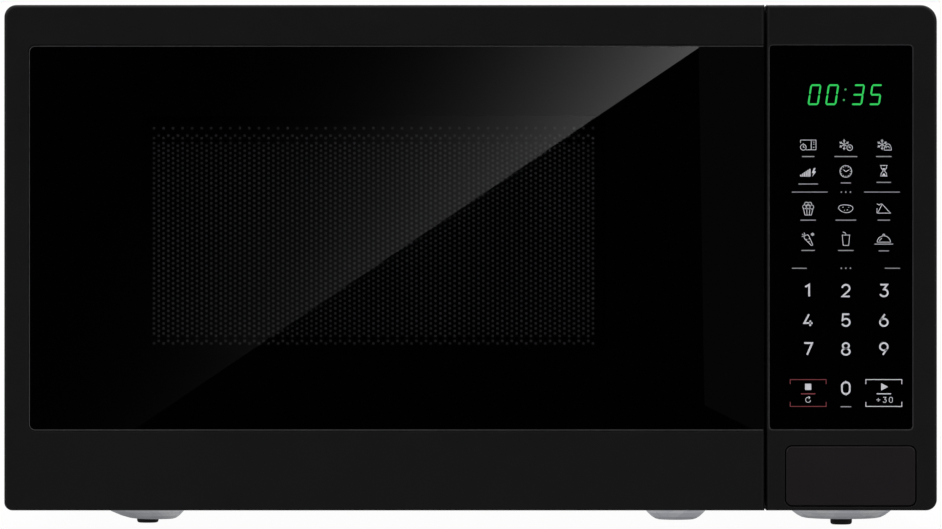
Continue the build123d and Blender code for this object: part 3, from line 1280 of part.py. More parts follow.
# ---------------------------------------------------------------- control panel
panel_x = (PANEL_LEFT + RIGHT) / 2
panel_inside = (PANEL_WIDTH - 2 * WALL, FRONT_HEIGHT - 2 * WALL)
pillar_spots = [
    (
        LENS_X + side * (BOARD_WIDTH / 2 - PILLAR_INSET),
        BOARD_Z + end * (BOARD_HEIGHT / 2 - PILLAR_INSET),
    )
    for side in (-1, 1)
    for end in (-1, 1)
]

with BuildPart() as control_bezel:
    with BuildSketch(facing(PLATE_FRONT)) as outline:
        with Locations((panel_x, front_z)):
            Rectangle(PANEL_WIDTH, FRONT_HEIGHT)
        fillet(outline.vertices().group_by(Axis.X)[-1].sort_by(Axis.Y)[-1], CORNER_TOP_RIGHT)
        fillet(outline.vertices().group_by(Axis.X)[-1].sort_by(Axis.Y)[0], CORNER_BOTTOM_RIGHT)
    extrude(amount=PLATE_FRONT - FACE)
    fillet(control_bezel.edges().group_by(Axis.Y)[0], FRONT_EDGE_ROUND)
    slab(
        facing(PLATE_FRONT),
        (panel_x, front_z),
        panel_inside,
        PLATE_FRONT - FACE - BEZEL_FACE,
        WALL,
        Mode.SUBTRACT,
    )
    opening = (BUTTON_WIDTH + 2 * BUTTON_GAP, BUTTON_HEIGHT + 2 * BUTTON_GAP)
    slab(
        facing(FACE + BEZEL_FACE + COLLAR_DEPTH),
        (BUTTON_X, BUTTON_Z),
        (opening[0] + 2 * COLLAR_WALL, opening[1] + 2 * COLLAR_WALL),
        COLLAR_DEPTH,
        BUTTON_CORNER,
    )
    slab(
        facing(FACE + BUTTON_DEPTH + BUTTON_TRAVEL + BUTTON_OVERTRAVEL),
        (BUTTON_X, BUTTON_Z),
        opening,
        BUTTON_DEPTH + BUTTON_TRAVEL + BUTTON_OVERTRAVEL,
        BUTTON_CORNER + BUTTON_GAP,
        Mode.SUBTRACT,
    )
    for spot in pillar_spots:
        rod(facing(BOARD_FRONT), spot, PILLAR_RADIUS, BOARD_DEPTH - BEZEL_FACE)
    slab(
        facing(FACE + LENS_INSET + LENS_THICK),
        (LENS_X, LENS_Z),
        (LENS_WIDTH + 2 * LENS_GAP, LENS_HEIGHT + 2 * LENS_GAP),
        LENS_INSET + LENS_THICK,
        LENS_CORNER,
        Mode.SUBTRACT,
    )
    slab(
        facing(FACE + BEZEL_FACE),
        (LENS_X, DISPLAY_Z),
        (DISPLAY_WIDTH, DISPLAY_HEIGHT),
        BEZEL_FACE,
        mode=Mode.SUBTRACT,
    )
save("control_bezel", control_bezel)

with BuildPart() as control_lens:
    lens_back = FACE + LENS_INSET + LENS_THICK
    slab(facing(lens_back), (LENS_X, LENS_Z), (LENS_WIDTH, LENS_HEIGHT), LENS_THICK, LENS_CORNER - LENS_GAP)
save("control_lens", control_lens)

with BuildPart() as control_board:
    board_back = BOARD_FRONT + BOARD_THICK
    slab(facing(board_back), (LENS_X, BOARD_Z), (BOARD_WIDTH, BOARD_HEIGHT), BOARD_THICK)
save("control_board", control_board)

with BuildPart() as led_display:
    slab(
        facing(BOARD_FRONT),
        (LENS_X, DISPLAY_Z),
        (DISPLAY_WIDTH - 2 * DISPLAY_WINDOW_GAP, DISPLAY_HEIGHT - 2 * DISPLAY_WINDOW_GAP),
        BOARD_FRONT - lens_back - CLEAR,
    )
save("led_display", led_display)

with BuildPart() as control_relays:
    for side in (-1, 1):
        relay_spot = (LENS_X + side * RELAY_SPACING / 2, BOARD_Z - RELAY_BELOW)
        slab(facing(board_back + RELAY_HEIGHT), relay_spot, RELAY_SIZE, RELAY_HEIGHT, 1)
save("control_relays", control_relays)

with BuildPart() as board_transformer:
    core_spot = (LENS_X, BOARD_Z + BOARD_CORE_ABOVE)
    slab(facing(board_back + BOARD_CORE_HEIGHT), core_spot, BOARD_CORE_SIZE, BOARD_CORE_HEIGHT)
    slab(facing(board_back + BOARD_BOBBIN_HEIGHT), core_spot, BOARD_BOBBIN_SIZE, BOARD_BOBBIN_HEIGHT, 2)
save("board_transformer", board_transformer)

# ---------------------------------------------------------------- microwave source
with BuildPart() as magnetron_yoke:
    slab(across(WAVEGUIDE_RIGHT), (WAVEGUIDE_Y, WAVEGUIDE_Z), (YOKE_LENGTH, YOKE_HEIGHT), YOKE_WIDTH)
    slab(
        across(WAVEGUIDE_RIGHT + YOKE_STEEL),
        (WAVEGUIDE_Y, WAVEGUIDE_Z),
        (YOKE_LENGTH, YOKE_HEIGHT - 2 * YOKE_STEEL),
        YOKE_WIDTH - 2 * YOKE_STEEL,
        mode=Mode.SUBTRACT,
    )
    rod(
        across(WAVEGUIDE_RIGHT),
        (WAVEGUIDE_Y, WAVEGUIDE_Z),
        ANTENNA_RADIUS + ANTENNA_COLLAR_GAP,
        YOKE_WIDTH,
        Mode.SUBTRACT,
    )
save("magnetron_yoke", magnetron_yoke)

with BuildPart() as magnetron_tube:
    anode_left = WAVEGUIDE_RIGHT + YOKE_STEEL
    anode_length = YOKE_WIDTH - 2 * YOKE_STEEL
    rod(across(anode_left), (WAVEGUIDE_Y, WAVEGUIDE_Z), ANODE_RADIUS, anode_length)
    rod(
        across(anode_left - ANTENNA_LENGTH),
        (WAVEGUIDE_Y, WAVEGUIDE_Z),
        ANTENNA_RADIUS,
        ANTENNA_LENGTH,
    )
    fillet(magnetron_tube.edges().group_by(Axis.X)[0], ANTENNA_RADIUS / 2)
save("magnetron_tube", magnetron_tube)

with BuildPart() as magnetron_fins:
    fin_pitch = anode_length / (FIN_COUNT + 1)
    for index in range(FIN_COUNT):
        fin_x = anode_left + fin_pitch * (index + 1) - FIN_THICK / 2
        with BuildSketch(across(fin_x)) as fin:
            with Locations((WAVEGUIDE_Y, WAVEGUIDE_Z)):
                Rectangle(YOKE_LENGTH - 2 * FIN_INSET, YOKE_HEIGHT - 2 * YOKE_STEEL - 2 * CLEAR)
                Circle(ANODE_RADIUS + RUNNING, mode=Mode.SUBTRACT)
        extrude(fin.sketch, amount=FIN_THICK)
save("magnetron_fins", magnetron_fins)

with BuildPart() as magnetron_filter_box:
    box_size = (FILTER_BOX_LENGTH, FILTER_BOX_HEIGHT)
    slab(across(YOKE_RIGHT), (WAVEGUIDE_Y, WAVEGUIDE_Z), box_size, FILTER_BOX_WIDTH, 2)
    slab(
        across(YOKE_RIGHT),
        (WAVEGUIDE_Y, WAVEGUIDE_Z),
        (FILTER_BOX_LENGTH - 2 * SHEET, FILTER_BOX_HEIGHT - 2 * SHEET),
        FILTER_BOX_WIDTH - SHEET,
        2,
        Mode.SUBTRACT,
    )
save("magnetron_filter_box", magnetron_filter_box)

core_x = LINER_RIGHT + CORE_FROM_CAVITY + CORE_WIDTH / 2
core_y = PANEL_IN - CORE_FROM_REAR - CORE_DEPTH / 2
window_width = CORE_WIDTH / 2 - CORE_LEG
window_height = CORE_HEIGHT - CORE_LEG
with BuildPart() as transformer_core:
    slab(level(BASE_TOP), (core_x, core_y), (CORE_WIDTH, CORE_DEPTH), CORE_HEIGHT)
    for side in (-1, 1):
        slab(
            facing(core_y + CORE_DEPTH / 2),
            (core_x + side * (CORE_LEG + window_width) / 2, BASE_TOP + CORE_HEIGHT / 2),
            (window_width, window_height),
            CORE_DEPTH,
            mode=Mode.SUBTRACT,
        )
save("transformer_core", transformer_core)

with BuildPart() as transformer_windings:
    coil_height = (window_height - 2 * COIL_ROOM) / 2
    for coil_z in (BASE_TOP + CORE_LEG / 2, BASE_TOP + CORE_HEIGHT - CORE_LEG / 2 - coil_height):
        coil_size = (CORE_LEG + 2 * COIL_WALL, CORE_DEPTH + 2 * COIL_WALL)
        slab(level(coil_z), (core_x, core_y), coil_size, coil_height, COIL_WALL * 0.7)
        slab(level(coil_z), (core_x, core_y), (CORE_LEG, CORE_DEPTH), coil_height, mode=Mode.SUBTRACT)
save("transformer_windings", transformer_windings)

can_x = INSIDE_RIGHT - CAPACITOR_FROM_SIDE - CAPACITOR_WIDTH / 2
can_z = BASE_TOP + CAPACITOR_HEIGHT / 2
can_back = core_y - CORE_DEPTH / 2 - COIL_WALL - CAPACITOR_FROM_COIL
can_front = can_back - CAPACITOR_LENGTH
with BuildPart() as hv_capacitor:
    with BuildSketch(facing(can_back)) as can:
        with Locations((can_x, can_z)):
            SlotOverall(CAPACITOR_WIDTH, CAPACITOR_HEIGHT)
    extrude(amount=CAPACITOR_LENGTH)
    for side in (-1, 1):
        post_x = can_x + side * CAPACITOR_POST_SPACING / 2
        block(
            (post_x - TERMINAL_WIDTH / 2, post_x + TERMINAL_WIDTH / 2),
            (can_front - CAPACITOR_POST - TERMINAL_LENGTH, can_front),
            (can_z - TERMINAL_THICK / 2, can_z + TERMINAL_THICK / 2),
        )
        rod(facing(can_front), (post_x, can_z), CAPACITOR_POST_RADIUS, CAPACITOR_POST)
save("hv_capacitor", hv_capacitor)

with BuildPart() as capacitor_clamp:
    clamp_y = (can_front + can_back) / 2 + CLAMP_WIDTH / 2
    with BuildSketch(facing(clamp_y)) as strap:
        with Locations((can_x, can_z)):
            SlotOverall(CAPACITOR_WIDTH + 2 * SHEET, CAPACITOR_HEIGHT + 2 * SHEET)
        with Locations((can_x, BASE_TOP + SHEET / 2)):
            Rectangle(CAPACITOR_WIDTH + 2 * CLAMP_EAR, SHEET)
        with Locations((can_x, BASE_TOP - CAPACITOR_HEIGHT / 2)):
            Rectangle(CAPACITOR_WIDTH * 2, CAPACITOR_HEIGHT, mode=Mode.SUBTRACT)
        with Locations((can_x, can_z)):
            SlotOverall(CAPACITOR_WIDTH, CAPACITOR_HEIGHT, mode=Mode.SUBTRACT)
    extrude(amount=CLAMP_WIDTH)
save("capacitor_clamp", capacitor_clamp)

with BuildPart() as hv_diode:
    diode_spot = (can_front - DIODE_FROM_CAPACITOR, BASE_TOP + DIODE_RADIUS)
    rod(across(can_x - DIODE_LENGTH / 2), diode_spot, DIODE_RADIUS, DIODE_LENGTH)
    block(
        (can_x - DIODE_LENGTH / 2 - DIODE_LUG, can_x - DIODE_LENGTH / 2),
        (diode_spot[0] - TERMINAL_WIDTH / 2, diode_spot[0] + TERMINAL_WIDTH / 2),
        (BASE_TOP, BASE_TOP + SHEET),
    )
save("hv_diode", hv_diode)

# ---------------------------------------------------------------- cooling
fan_front = PANEL_IN - FAN_BOX_DEPTH
motor_back = PANEL_IN - FAN_MOTOR_FROM_REAR
motor_front = motor_back - FAN_MOTOR_DEPTH
spider_front = motor_front - SPIDER_THICK
blade_back = spider_front - FAN_BLADE_GAP
blade_middle = blade_back - FAN_BLADE_DEPTH / 2
fan_spot = (FAN_X, FAN_Z)

with BuildPart() as fan_bracket:
    inside = FAN_BOX - 2 * FAN_WALL
    slab(facing(PANEL_IN), fan_spot, (FAN_BOX, FAN_BOX), FAN_BOX_DEPTH, 4)
    slab(facing(PANEL_IN), fan_spot, (inside, inside), FAN_BOX_DEPTH - FAN_WALL, 3, Mode.SUBTRACT)
    rod(facing(fan_front + FAN_WALL), fan_spot, FAN_RADIUS + FAN_TIP_GAP, FAN_WALL, Mode.SUBTRACT)
    slab(facing(motor_front), fan_spot, (inside + FAN_WALL, SPIDER_WIDTH), SPIDER_THICK)
    slab(facing(motor_front), fan_spot, (SPIDER_WIDTH, inside + FAN_WALL), SPIDER_THICK)
    rod(facing(motor_front), fan_spot, FAN_SHAFT + 4 * CLEAR, SPIDER_THICK, Mode.SUBTRACT)
save("fan_bracket", fan_bracket)

with BuildPart() as fan_motor:
    slab(facing(motor_back), fan_spot, (FAN_MOTOR_SIZE, FAN_MOTOR_SIZE), FAN_MOTOR_DEPTH, 3)
    rod(facing(motor_back), fan_spot, FAN_SHAFT + RUNNING, FAN_MOTOR_DEPTH, Mode.SUBTRACT)
save("fan_motor", fan_motor)

with BuildPart(facing(blade_middle)) as fan_blade:
    with Locations((FAN_X, FAN_Z, 0)):
        Cylinder(FAN_HUB_RADIUS, FAN_BLADE_DEPTH)
        blade_length = FAN_RADIUS - FAN_HUB_RADIUS + FAN_BLADE_ROOT
        with PolarLocations(FAN_HUB_RADIUS - FAN_BLADE_ROOT + blade_length / 2, FAN_BLADES):
            Box(blade_length, FAN_BLADE_WIDTH, FAN_BLADE_THICK, rotation=(FAN_BLADE_PITCH, 0, 0))
        Cylinder(FAN_RADIUS, FAN_BLADE_DEPTH, mode=Mode.INTERSECT)
    rod(facing(motor_back - CLEAR), fan_spot, FAN_SHAFT, motor_back - blade_back + FAN_BLADE_DEPTH / 2)
save("fan_blade", fan_blade)

with BuildPart() as air_duct:
    duct_x = (LINER_RIGHT + YOKE_RIGHT) / 2
    duct_width = YOKE_RIGHT - LINER_RIGHT
    slab(facing(duct_back), (duct_x, WAVEGUIDE_Z), (duct_width, YOKE_HEIGHT), DUCT_LENGTH)
    slab(
        facing(duct_back),
        (duct_x - DUCT_WALL, WAVEGUIDE_Z),
        (duct_width, YOKE_HEIGHT - 2 * DUCT_WALL),
        DUCT_LENGTH - DUCT_WALL,
        mode=Mode.SUBTRACT,
    )
save("air_duct", air_duct)

with BuildPart() as filter_board:
    card_x = LINER_RIGHT + FILTER_BOARD_FROM_CAVITY + FILTER_BOARD_WIDTH / 2
    card_z = BASE_TOP + FILTER_BOARD_ABOVE_BASE + FILTER_BOARD_HEIGHT / 2
    card_back = PANEL_IN - FILTER_BOARD_FROM_REAR
    card_front = card_back - BOARD_THICK
    pin_x = FILTER_BOARD_WIDTH / 2 - FILTER_PIN_INSET
    pin_z = FILTER_BOARD_HEIGHT / 2 - FILTER_PIN_INSET
    slab(facing(card_back), (card_x, card_z), (FILTER_BOARD_WIDTH, FILTER_BOARD_HEIGHT), BOARD_THICK)
    for side in (-1, 1):
        for end in (-1, 1):
            spot = (card_x + side * pin_x, card_z + end * pin_z)
            rod(facing(PANEL_IN), spot, FILTER_PIN, PANEL_IN - card_back)
    rod(facing(card_front), (card_x - FILTER_SPREAD, card_z), FILTER_COIL_RADIUS, FILTER_COIL_HEIGHT)
    capacitor_spot = (card_x + FILTER_SPREAD, card_z + FILTER_CAPACITOR_ABOVE)
    slab(facing(card_front), capacitor_spot, FILTER_CAPACITOR_SIZE, FILTER_CAPACITOR_HEIGHT, 1)
    fuse_spot = (card_x + FILTER_SPREAD, card_z - FILTER_FUSE_BELOW)
    slab(facing(card_front), fuse_spot, FILTER_FUSE_SIZE, FILTER_FUSE_HEIGHT, 1)
save("filter_board", filter_board)
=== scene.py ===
import json
from math import cos, pi, radians, sin

import bmesh
import bpy
from bpy.props import FloatProperty, FloatVectorProperty, IntProperty, PointerProperty
from bpy.types import NodeSocket, Operator, Panel, PropertyGroup
from mathutils import Matrix, Vector


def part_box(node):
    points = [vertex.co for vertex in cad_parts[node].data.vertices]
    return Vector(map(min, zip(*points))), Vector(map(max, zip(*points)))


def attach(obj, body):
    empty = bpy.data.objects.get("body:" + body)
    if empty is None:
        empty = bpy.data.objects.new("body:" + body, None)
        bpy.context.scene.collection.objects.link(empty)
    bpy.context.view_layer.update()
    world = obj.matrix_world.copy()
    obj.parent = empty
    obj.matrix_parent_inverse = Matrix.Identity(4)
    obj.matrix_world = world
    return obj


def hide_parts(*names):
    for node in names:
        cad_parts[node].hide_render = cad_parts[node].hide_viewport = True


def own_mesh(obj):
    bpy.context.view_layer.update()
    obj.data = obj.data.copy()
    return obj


bl_info = {
    "name": "Countertop microwave oven",
    "version": (1, 0, 0),
    "blender": (4, 5, 0),
    "location": "3D View > Sidebar > Oven",
    "description": "Finishes, printed panel, door screen, springs, screws and stage for the oven",
    "category": "Object",
}

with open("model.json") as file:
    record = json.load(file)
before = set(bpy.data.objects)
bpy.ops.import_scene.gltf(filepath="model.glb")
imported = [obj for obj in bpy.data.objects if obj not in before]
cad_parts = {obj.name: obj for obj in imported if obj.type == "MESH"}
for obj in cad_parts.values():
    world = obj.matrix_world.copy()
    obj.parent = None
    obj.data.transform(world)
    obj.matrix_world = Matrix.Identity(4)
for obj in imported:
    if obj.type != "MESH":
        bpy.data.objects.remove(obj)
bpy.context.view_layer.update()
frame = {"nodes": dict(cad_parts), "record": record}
NODES = frame["nodes"]
SLOT_OF = {part["node"]: part["material_slot"] for part in frame["record"]["subparts"]}
MM = 0.001

GLASS_LOW, GLASS_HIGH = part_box("door_glass")
LENS_LOW, LENS_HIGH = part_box("control_lens")
SCREEN_LOW, SCREEN_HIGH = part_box("door_screen")
WINDOW_LOW, WINDOW_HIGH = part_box("inner_window")
SCREWS_LOW, SCREWS_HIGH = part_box("cabinet_screws")
SHELL_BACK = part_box("cabinet_shell")[1].y


# ---------------------------------------------------------------- sizes and colours a user may change
def colour_setting(name, description, default):
    return FloatVectorProperty(
        name=name, description=description, default=default, subtype="COLOR", min=0, max=1
    )


def share_setting(name, description, default):
    return FloatProperty(name=name, description=description, default=default, subtype="FACTOR", min=0, max=1)


def length_setting(name, description, default, least, most):
    """A length, given in millimetres."""
    return FloatProperty(
        name=name, description=description, default=default * MM, unit="LENGTH", min=least * MM, max=most * MM
    )


def power_setting(name, description, default):
    return FloatProperty(name=name, description=description, default=default, unit="POWER", min=0, max=500)


def count_setting(name, description, default, most):
    return IntProperty(name=name, description=description, default=default, min=3, max=most)


class FrontSettings(PropertyGroup):
    plastic: colour_setting("Frame plastic", "Colour of the satin black mouldings", (0.003, 0.003, 0.0031))
    button: colour_setting("Door button", "Colour of the door button", (0.0062, 0.005, 0.0056))
    glass_tint: share_setting("Glass tint", "Share of the light that the smoked glass lets through", 0.4)
    # The bead round the glass is a lighter ribbon: a painted highlight of the glass edge catching light.
    highlight_bead_width: length_setting("Seal width", "Width of the bright bead round the glass", 0.46, 0.1, 2)
    print_inset: length_setting("Print inset", "From the glass edge to its black border", 0.3, 0, 5)


class ScreenSettings(PropertyGroup):
    pitch_x: length_setting("Column pitch", "Distance between two columns of holes", 2.316, 1, 6)
    pitch_z: length_setting("Row pitch", "Distance between two holes of a column", 2.43, 1, 6)
    hole: length_setting("Hole", "Diameter of a hole in the door screen", 1.5, 0.4, 3)
    columns: count_setting("Columns", "Columns of holes across the window", 93, 160)
    rows: count_setting("Rows", "Holes in the unbroken run of a column", 40, 90)
    shift_x: length_setting("Shift across", "From the window's middle to the field's, across", -0.12, -20, 20)
    shift_z: length_setting("Shift up", "From the window's middle to the field's, up", -0.2, -20, 20)
    haze: share_setting("Film haze", "Share of the light that the film behind the holes stops", 0.6)


class PanelSettings(PropertyGroup):
    ink: colour_setting("Key print", "Colour of the printed keys", (0.44, 0.44, 0.47))
    stop_ink: colour_setting("Stop print", "Colour of the stop key's print", (0.13, 0.02, 0.026))
    glow: colour_setting("Clock digits", "Colour of the lit clock digits", (0.014, 0.5, 0.075))
    stroke: length_setting("Pictogram stroke", "Line width of the key pictograms", 0.27, 0.1, 1)
    numeral_stroke: length_setting("Numeral stroke", "Line width of the key numerals", 0.82, 0.2, 2)


class StageSettings(PropertyGroup):
    key_power: power_setting("Overhead light", "Power of the overhead softbox", 34.0)
    fill_power: power_setting("Front lights", "Power of each front softbox", 58.0)
    card: FloatProperty(
        name="Reflector card",
        description="Brightness of the card that the door glass mirrors",
        default=2.05,
        min=0,
        max=10,
    )
    floor: length_setting("Floor radius", "Radius of the pale floor", 1300, 500, 20000)


# ---------------------------------------------------------------- node helpers
def wire(tree, source, target):
    tree.links.new(source, target)


def new_node(tree, kind, inputs=(), **settings):
    """A node with its settings made, and its inputs, by name or number, each given a value or a link."""
    node = tree.nodes.new(kind)
    for key, value in settings.items():
        setattr(node, key, value)
    for key, value in dict(inputs).items():
        if isinstance(value, NodeSocket):
            wire(tree, value, node.inputs[key])
        else:
            node.inputs[key].default_value = value
    return node


def math_node(tree, operation, *values, clamp=False):
    settings = {"operation": operation, "use_clamp": clamp}
    return new_node(tree, "ShaderNodeMath", enumerate(values), **settings).outputs[0]


def vector_math(tree, operation, *values):
    return new_node(tree, "ShaderNodeVectorMath", enumerate(values), operation=operation).outputs


def colour_mix(tree, share, first, second):
    inputs = {0: share}
    for place, colour in ((6, first), (7, second)):
        inputs[place] = colour if isinstance(colour, NodeSocket) else (*colour[:3], 1.0)
    return new_node(tree, "ShaderNodeMix", inputs, data_type="RGBA").outputs[2]


def place_on(tree):
    """Where a point lies in its object's own coordinates."""
    return new_node(tree, "ShaderNodeTexCoord").outputs["Object"]


def noise(tree, scale, **inputs):
    return new_node(tree, "ShaderNodeTexNoise", {"Vector": place_on(tree), "Scale": scale, **inputs}).outputs


def bump(tree, height, depth):
    """The normal of a surface raised by this height."""
    return new_node(tree, "ShaderNodeBump", {"Height": height, "Distance": depth}).outputs["Normal"]


def cell_colours(tree, place, scale):
    """The cells of a Voronoi pattern and the three random values of each."""
    cells = new_node(tree, "ShaderNodeTexVoronoi", {"Vector": place, "Scale": scale}).outputs
    return cells, new_node(tree, "ShaderNodeSeparateColor", {"Color": cells["Color"]}).outputs


# ---------------------------------------------------------------- effects that finishes share
def shared_group(name, inputs, outputs, fill):
    """A shader node group, made once, whose outputs are what fill gives."""
    if name in bpy.data.node_groups:
        return bpy.data.node_groups[name]
    group = bpy.data.node_groups.new(name, "ShaderNodeTree")
    for title, default in inputs.items():
        socket = group.interface.new_socket(name=title, in_out="INPUT", socket_type="NodeSocketFloat")
        socket.default_value = default
    for title in outputs:
        kind = "NodeSocketVector" if title == "Normal" else "NodeSocketFloat"
        group.interface.new_socket(name=title, in_out="OUTPUT", socket_type=kind)
    results = fill(group, new_node(group, "NodeGroupInput").outputs)
    new_node(group, "NodeGroupOutput", dict(zip(outputs, results)))
    return group


def use_group(tree, group, **values):
    """The outputs of a placed group, with its inputs given by name, underscores for spaces."""
    inputs = {key.replace("_", " "): value for key, value in values.items()}
    return new_node(tree, "ShaderNodeGroup", inputs, node_tree=group).outputs


def use_grain(tree, scale, depth):
    """The normal of a finely grained surface."""

    def fill(group, given):
        return (bump(group, noise(group, given["Scale"], Detail=3.0)["Fac"], given["Depth"]),)

    group = shared_group("Moulded grain", {"Scale": 1200.0, "Depth": 0.00002}, ("Normal",), fill)
    return use_group(tree, group, Scale=scale, Depth=depth)["Normal"]


def use_clouds(tree, scale, swing, middle):
    """A value that drifts slowly about its middle."""

    def fill(group, given):
        cloud = noise(group, given["Scale"], Detail=4.0, Roughness=0.6)["Fac"]
        drift = math_node(group, "MULTIPLY", math_node(group, "SUBTRACT", cloud, 0.5), given["Swing"])
        return (math_node(group, "ADD", drift, given["Middle"]),)

    group = shared_group("Slow variation", {"Scale": 30.0, "Swing": 0.2, "Middle": 0.5}, ("Value",), fill)
    return use_group(tree, group, Scale=scale, Swing=swing, Middle=middle)["Value"]


def use_rubbed_edges(tree, radius):
    """A mask of the rubbed edges, and the softened normal."""

    def fill(group, given):
        soft = new_node(group, "ShaderNodeBevel", {"Radius": given["Radius"]}, samples=4).outputs["Normal"]
        flat = new_node(group, "ShaderNodeNewGeometry").outputs["Normal"]
        turned = math_node(group, "SUBTRACT", 1.0, vector_math(group, "DOT_PRODUCT", soft, flat)["Value"])
        raised = math_node(group, "MULTIPLY", turned, given["Gain"], clamp=True)
        return math_node(group, "MULTIPLY", raised, noise(group, 260.0)["Fac"], clamp=True), soft

    group = shared_group("Rubbed edges", {"Radius": 0.0004, "Gain": 3.0}, ("Mask", "Normal"), fill)
    edges = use_group(tree, group, Radius=radius)
    return edges["Mask"], edges["Normal"]


def use_speckles(tree, scale, size):
    """A mask of round specks of many sizes."""

    def fill(group, given):
        cells, random = cell_colours(group, place_on(group), given["Scale"])
        reach = math_node(group, "MULTIPLY", random[0], given["Size"])
        return (math_node(group, "LESS_THAN", cells["Distance"], reach),)

    group = shared_group("Speckles", {"Scale": 420.0, "Size": 0.42}, ("Mask",), fill)
    return use_group(tree, group, Scale=scale, Size=size)["Mask"]


def use_spangle(tree, scale):
    """The tone and gloss of zinc crystals with wavy borders."""

    def fill(group, given):
        warp = noise(group, 90.0)["Color"]
        wavy = vector_math(group, "MULTIPLY_ADD", warp, (0.006, 0.006, 0.006), place_on(group))["Vector"]
        return cell_colours(group, wavy, given["Scale"])[1][:2]

    group = shared_group("Zinc spangle", {"Scale": 160.0}, ("Tone", "Gloss"), fill)
    spangle = use_group(tree, group, Scale=scale)
    return spangle["Tone"], spangle["Gloss"]


def use_bands(tree, depth, per_metre):
    """A mask and the normal of bands, as many per metre along X, Y and Z."""
    titles = ("Per metre X", "Per metre Y", "Per metre Z")

    def fill(group, given):
        axes = new_node(group, "ShaderNodeSeparateXYZ", {0: place_on(group)}).outputs
        along = [math_node(group, "MULTIPLY", axis, given[title]) for axis, title in zip(axes, titles)]
        total = math_node(group, "ADD", math_node(group, "ADD", *along[:2]), along[2])
        wave = math_node(group, "SINE", math_node(group, "MULTIPLY", total, 2 * pi))
        height = math_node(group, "MULTIPLY_ADD", wave, 0.5, 0.5)
        return height, bump(group, height, given["Depth"])

    inputs = {**dict.fromkeys(titles, 0.0), "Depth": 0.0001}
    group = shared_group("Wound bands", inputs, ("Mask", "Normal"), fill)
    bands = use_group(tree, group, Depth=depth, **dict(zip(titles, per_metre)))
    return bands["Mask"], bands["Normal"]


# ---------------------------------------------------------------- finishes
def blank_finish(name, **values):
    """The oven's material of this name with one fresh shader in it, set to these values."""
    full = "oven_" + name
    finish = bpy.data.materials.get(full) or bpy.data.materials.new(full)
    finish.use_nodes = True
    tree = finish.node_tree
    tree.nodes.clear()
    shader = new_node(tree, "ShaderNodeBsdfPrincipled")
    new_node(tree, "ShaderNodeOutputMaterial", {"Surface": shader.outputs[0]})
    for key, value in values.items():
        colour = isinstance(value, (tuple, list))
        shader.inputs[key.replace("_", " ")].default_value = (*value, 1.0) if colour else value
    return finish, tree, shader


def set_surface(tree, source):
    wire(tree, source, tree.nodes["Material Output"].inputs["Surface"])


def shaded(colour, share):
    """A colour made lighter or darker."""
    return tuple(part * share for part in colour)


def give_colour(tree, shader, low, high, scale, swing):
    """A base colour that drifts between two tones."""
    colour = colour_mix(tree, use_clouds(tree, scale, swing, 0.5), low, high)
    wire(tree, colour, shader.inputs["Base Color"])


def give_gloss(tree, shader, roughness, scale, swing):
    """A roughness that drifts about its middle and never falls below zero."""
    drift = use_clouds(tree, scale, swing, roughness)
    wire(tree, math_node(tree, "MAXIMUM", drift, 0.0), shader.inputs["Roughness"])


def give_grain(tree, shader, scale, depth):
    """A fine grain in the surface."""
    wire(tree, use_grain(tree, scale, depth), shader.inputs["Normal"])


def light_passes(tree, shader, tint):
    """Lets lamps and soft light through a clear piece without bending."""
    path = new_node(tree, "ShaderNodeLightPath").outputs
    clear = new_node(tree, "ShaderNodeBsdfTransparent", {"Color": (tint, tint, tint, 1.0)})
    either = math_node(tree, "MAXIMUM", path["Is Shadow Ray"], path["Is Diffuse Ray"])
    mixed = new_node(tree, "ShaderNodeMixShader", {0: either, 1: shader.outputs[0], 2: clear.outputs[0]})
    set_surface(tree, mixed.outputs[0])


def finish_of(
    name,
    colour,
    roughness,
    metal=0.0,
    tone=0.16,
    tone_scale=25.0,
    grain=1200.0,
    depth=0.00002,
    rubbed=0.25,
    rubbed_colour=None,
    edge=0.0004,
    **sockets,
):
    """A painted, moulded or metal finish: slow tone change, grain in the normal, rubbed edges."""
    finish, tree, shader = blank_finish(name, Metallic=metal, **sockets)
    slow = use_clouds(tree, tone_scale, 2.0, 0.5)
    body = colour_mix(tree, slow, shaded(colour, 1 - tone), shaded(colour, 1 + tone))
    mask, soft = use_rubbed_edges(tree, edge)
    worn = rubbed_colour or tuple(min(1.0, part * 2.2 + 0.01) for part in colour)
    share = math_node(tree, "MULTIPLY", mask, rubbed)
    wire(tree, colour_mix(tree, share, body, worn), shader.inputs["Base Color"])
    give_gloss(tree, shader, roughness, tone_scale * 6, 0.12)
    both = vector_math(tree, "ADD", use_grain(tree, grain, depth), soft)["Vector"]
    wire(tree, vector_math(tree, "NORMALIZE", both)["Vector"], shader.inputs["Normal"])
    return finish


def front_plastic():
    colour = tuple(bpy.context.scene.oven_front.plastic)
    return finish_of(
        "satin_black_plastic", colour, 0.46, grain=2200.0, depth=0.000012, tone=0.1,
        rubbed=0.5, rubbed_colour=(0.022, 0.022, 0.023), edge=0.0007, Specular_IOR_Level=0.12,
    )


def button_plastic():
    colour = tuple(bpy.context.scene.oven_front.button)
    return finish_of(
        "door_button_plastic", colour, 0.44, grain=2200.0, depth=0.00001, tone=0.08,
        rubbed=0.5, rubbed_colour=(0.03, 0.028, 0.029), edge=0.0005, Specular_IOR_Level=0.12,
    )


def cabinet_paint():
    return finish_of(
        "cabinet_paint", (0.012, 0.012, 0.0125), 0.42, grain=650.0, depth=0.00005, tone=0.14,
        rubbed=0.45, rubbed_colour=(0.09, 0.09, 0.095), edge=0.0006, Specular_IOR_Level=0.35,
    )


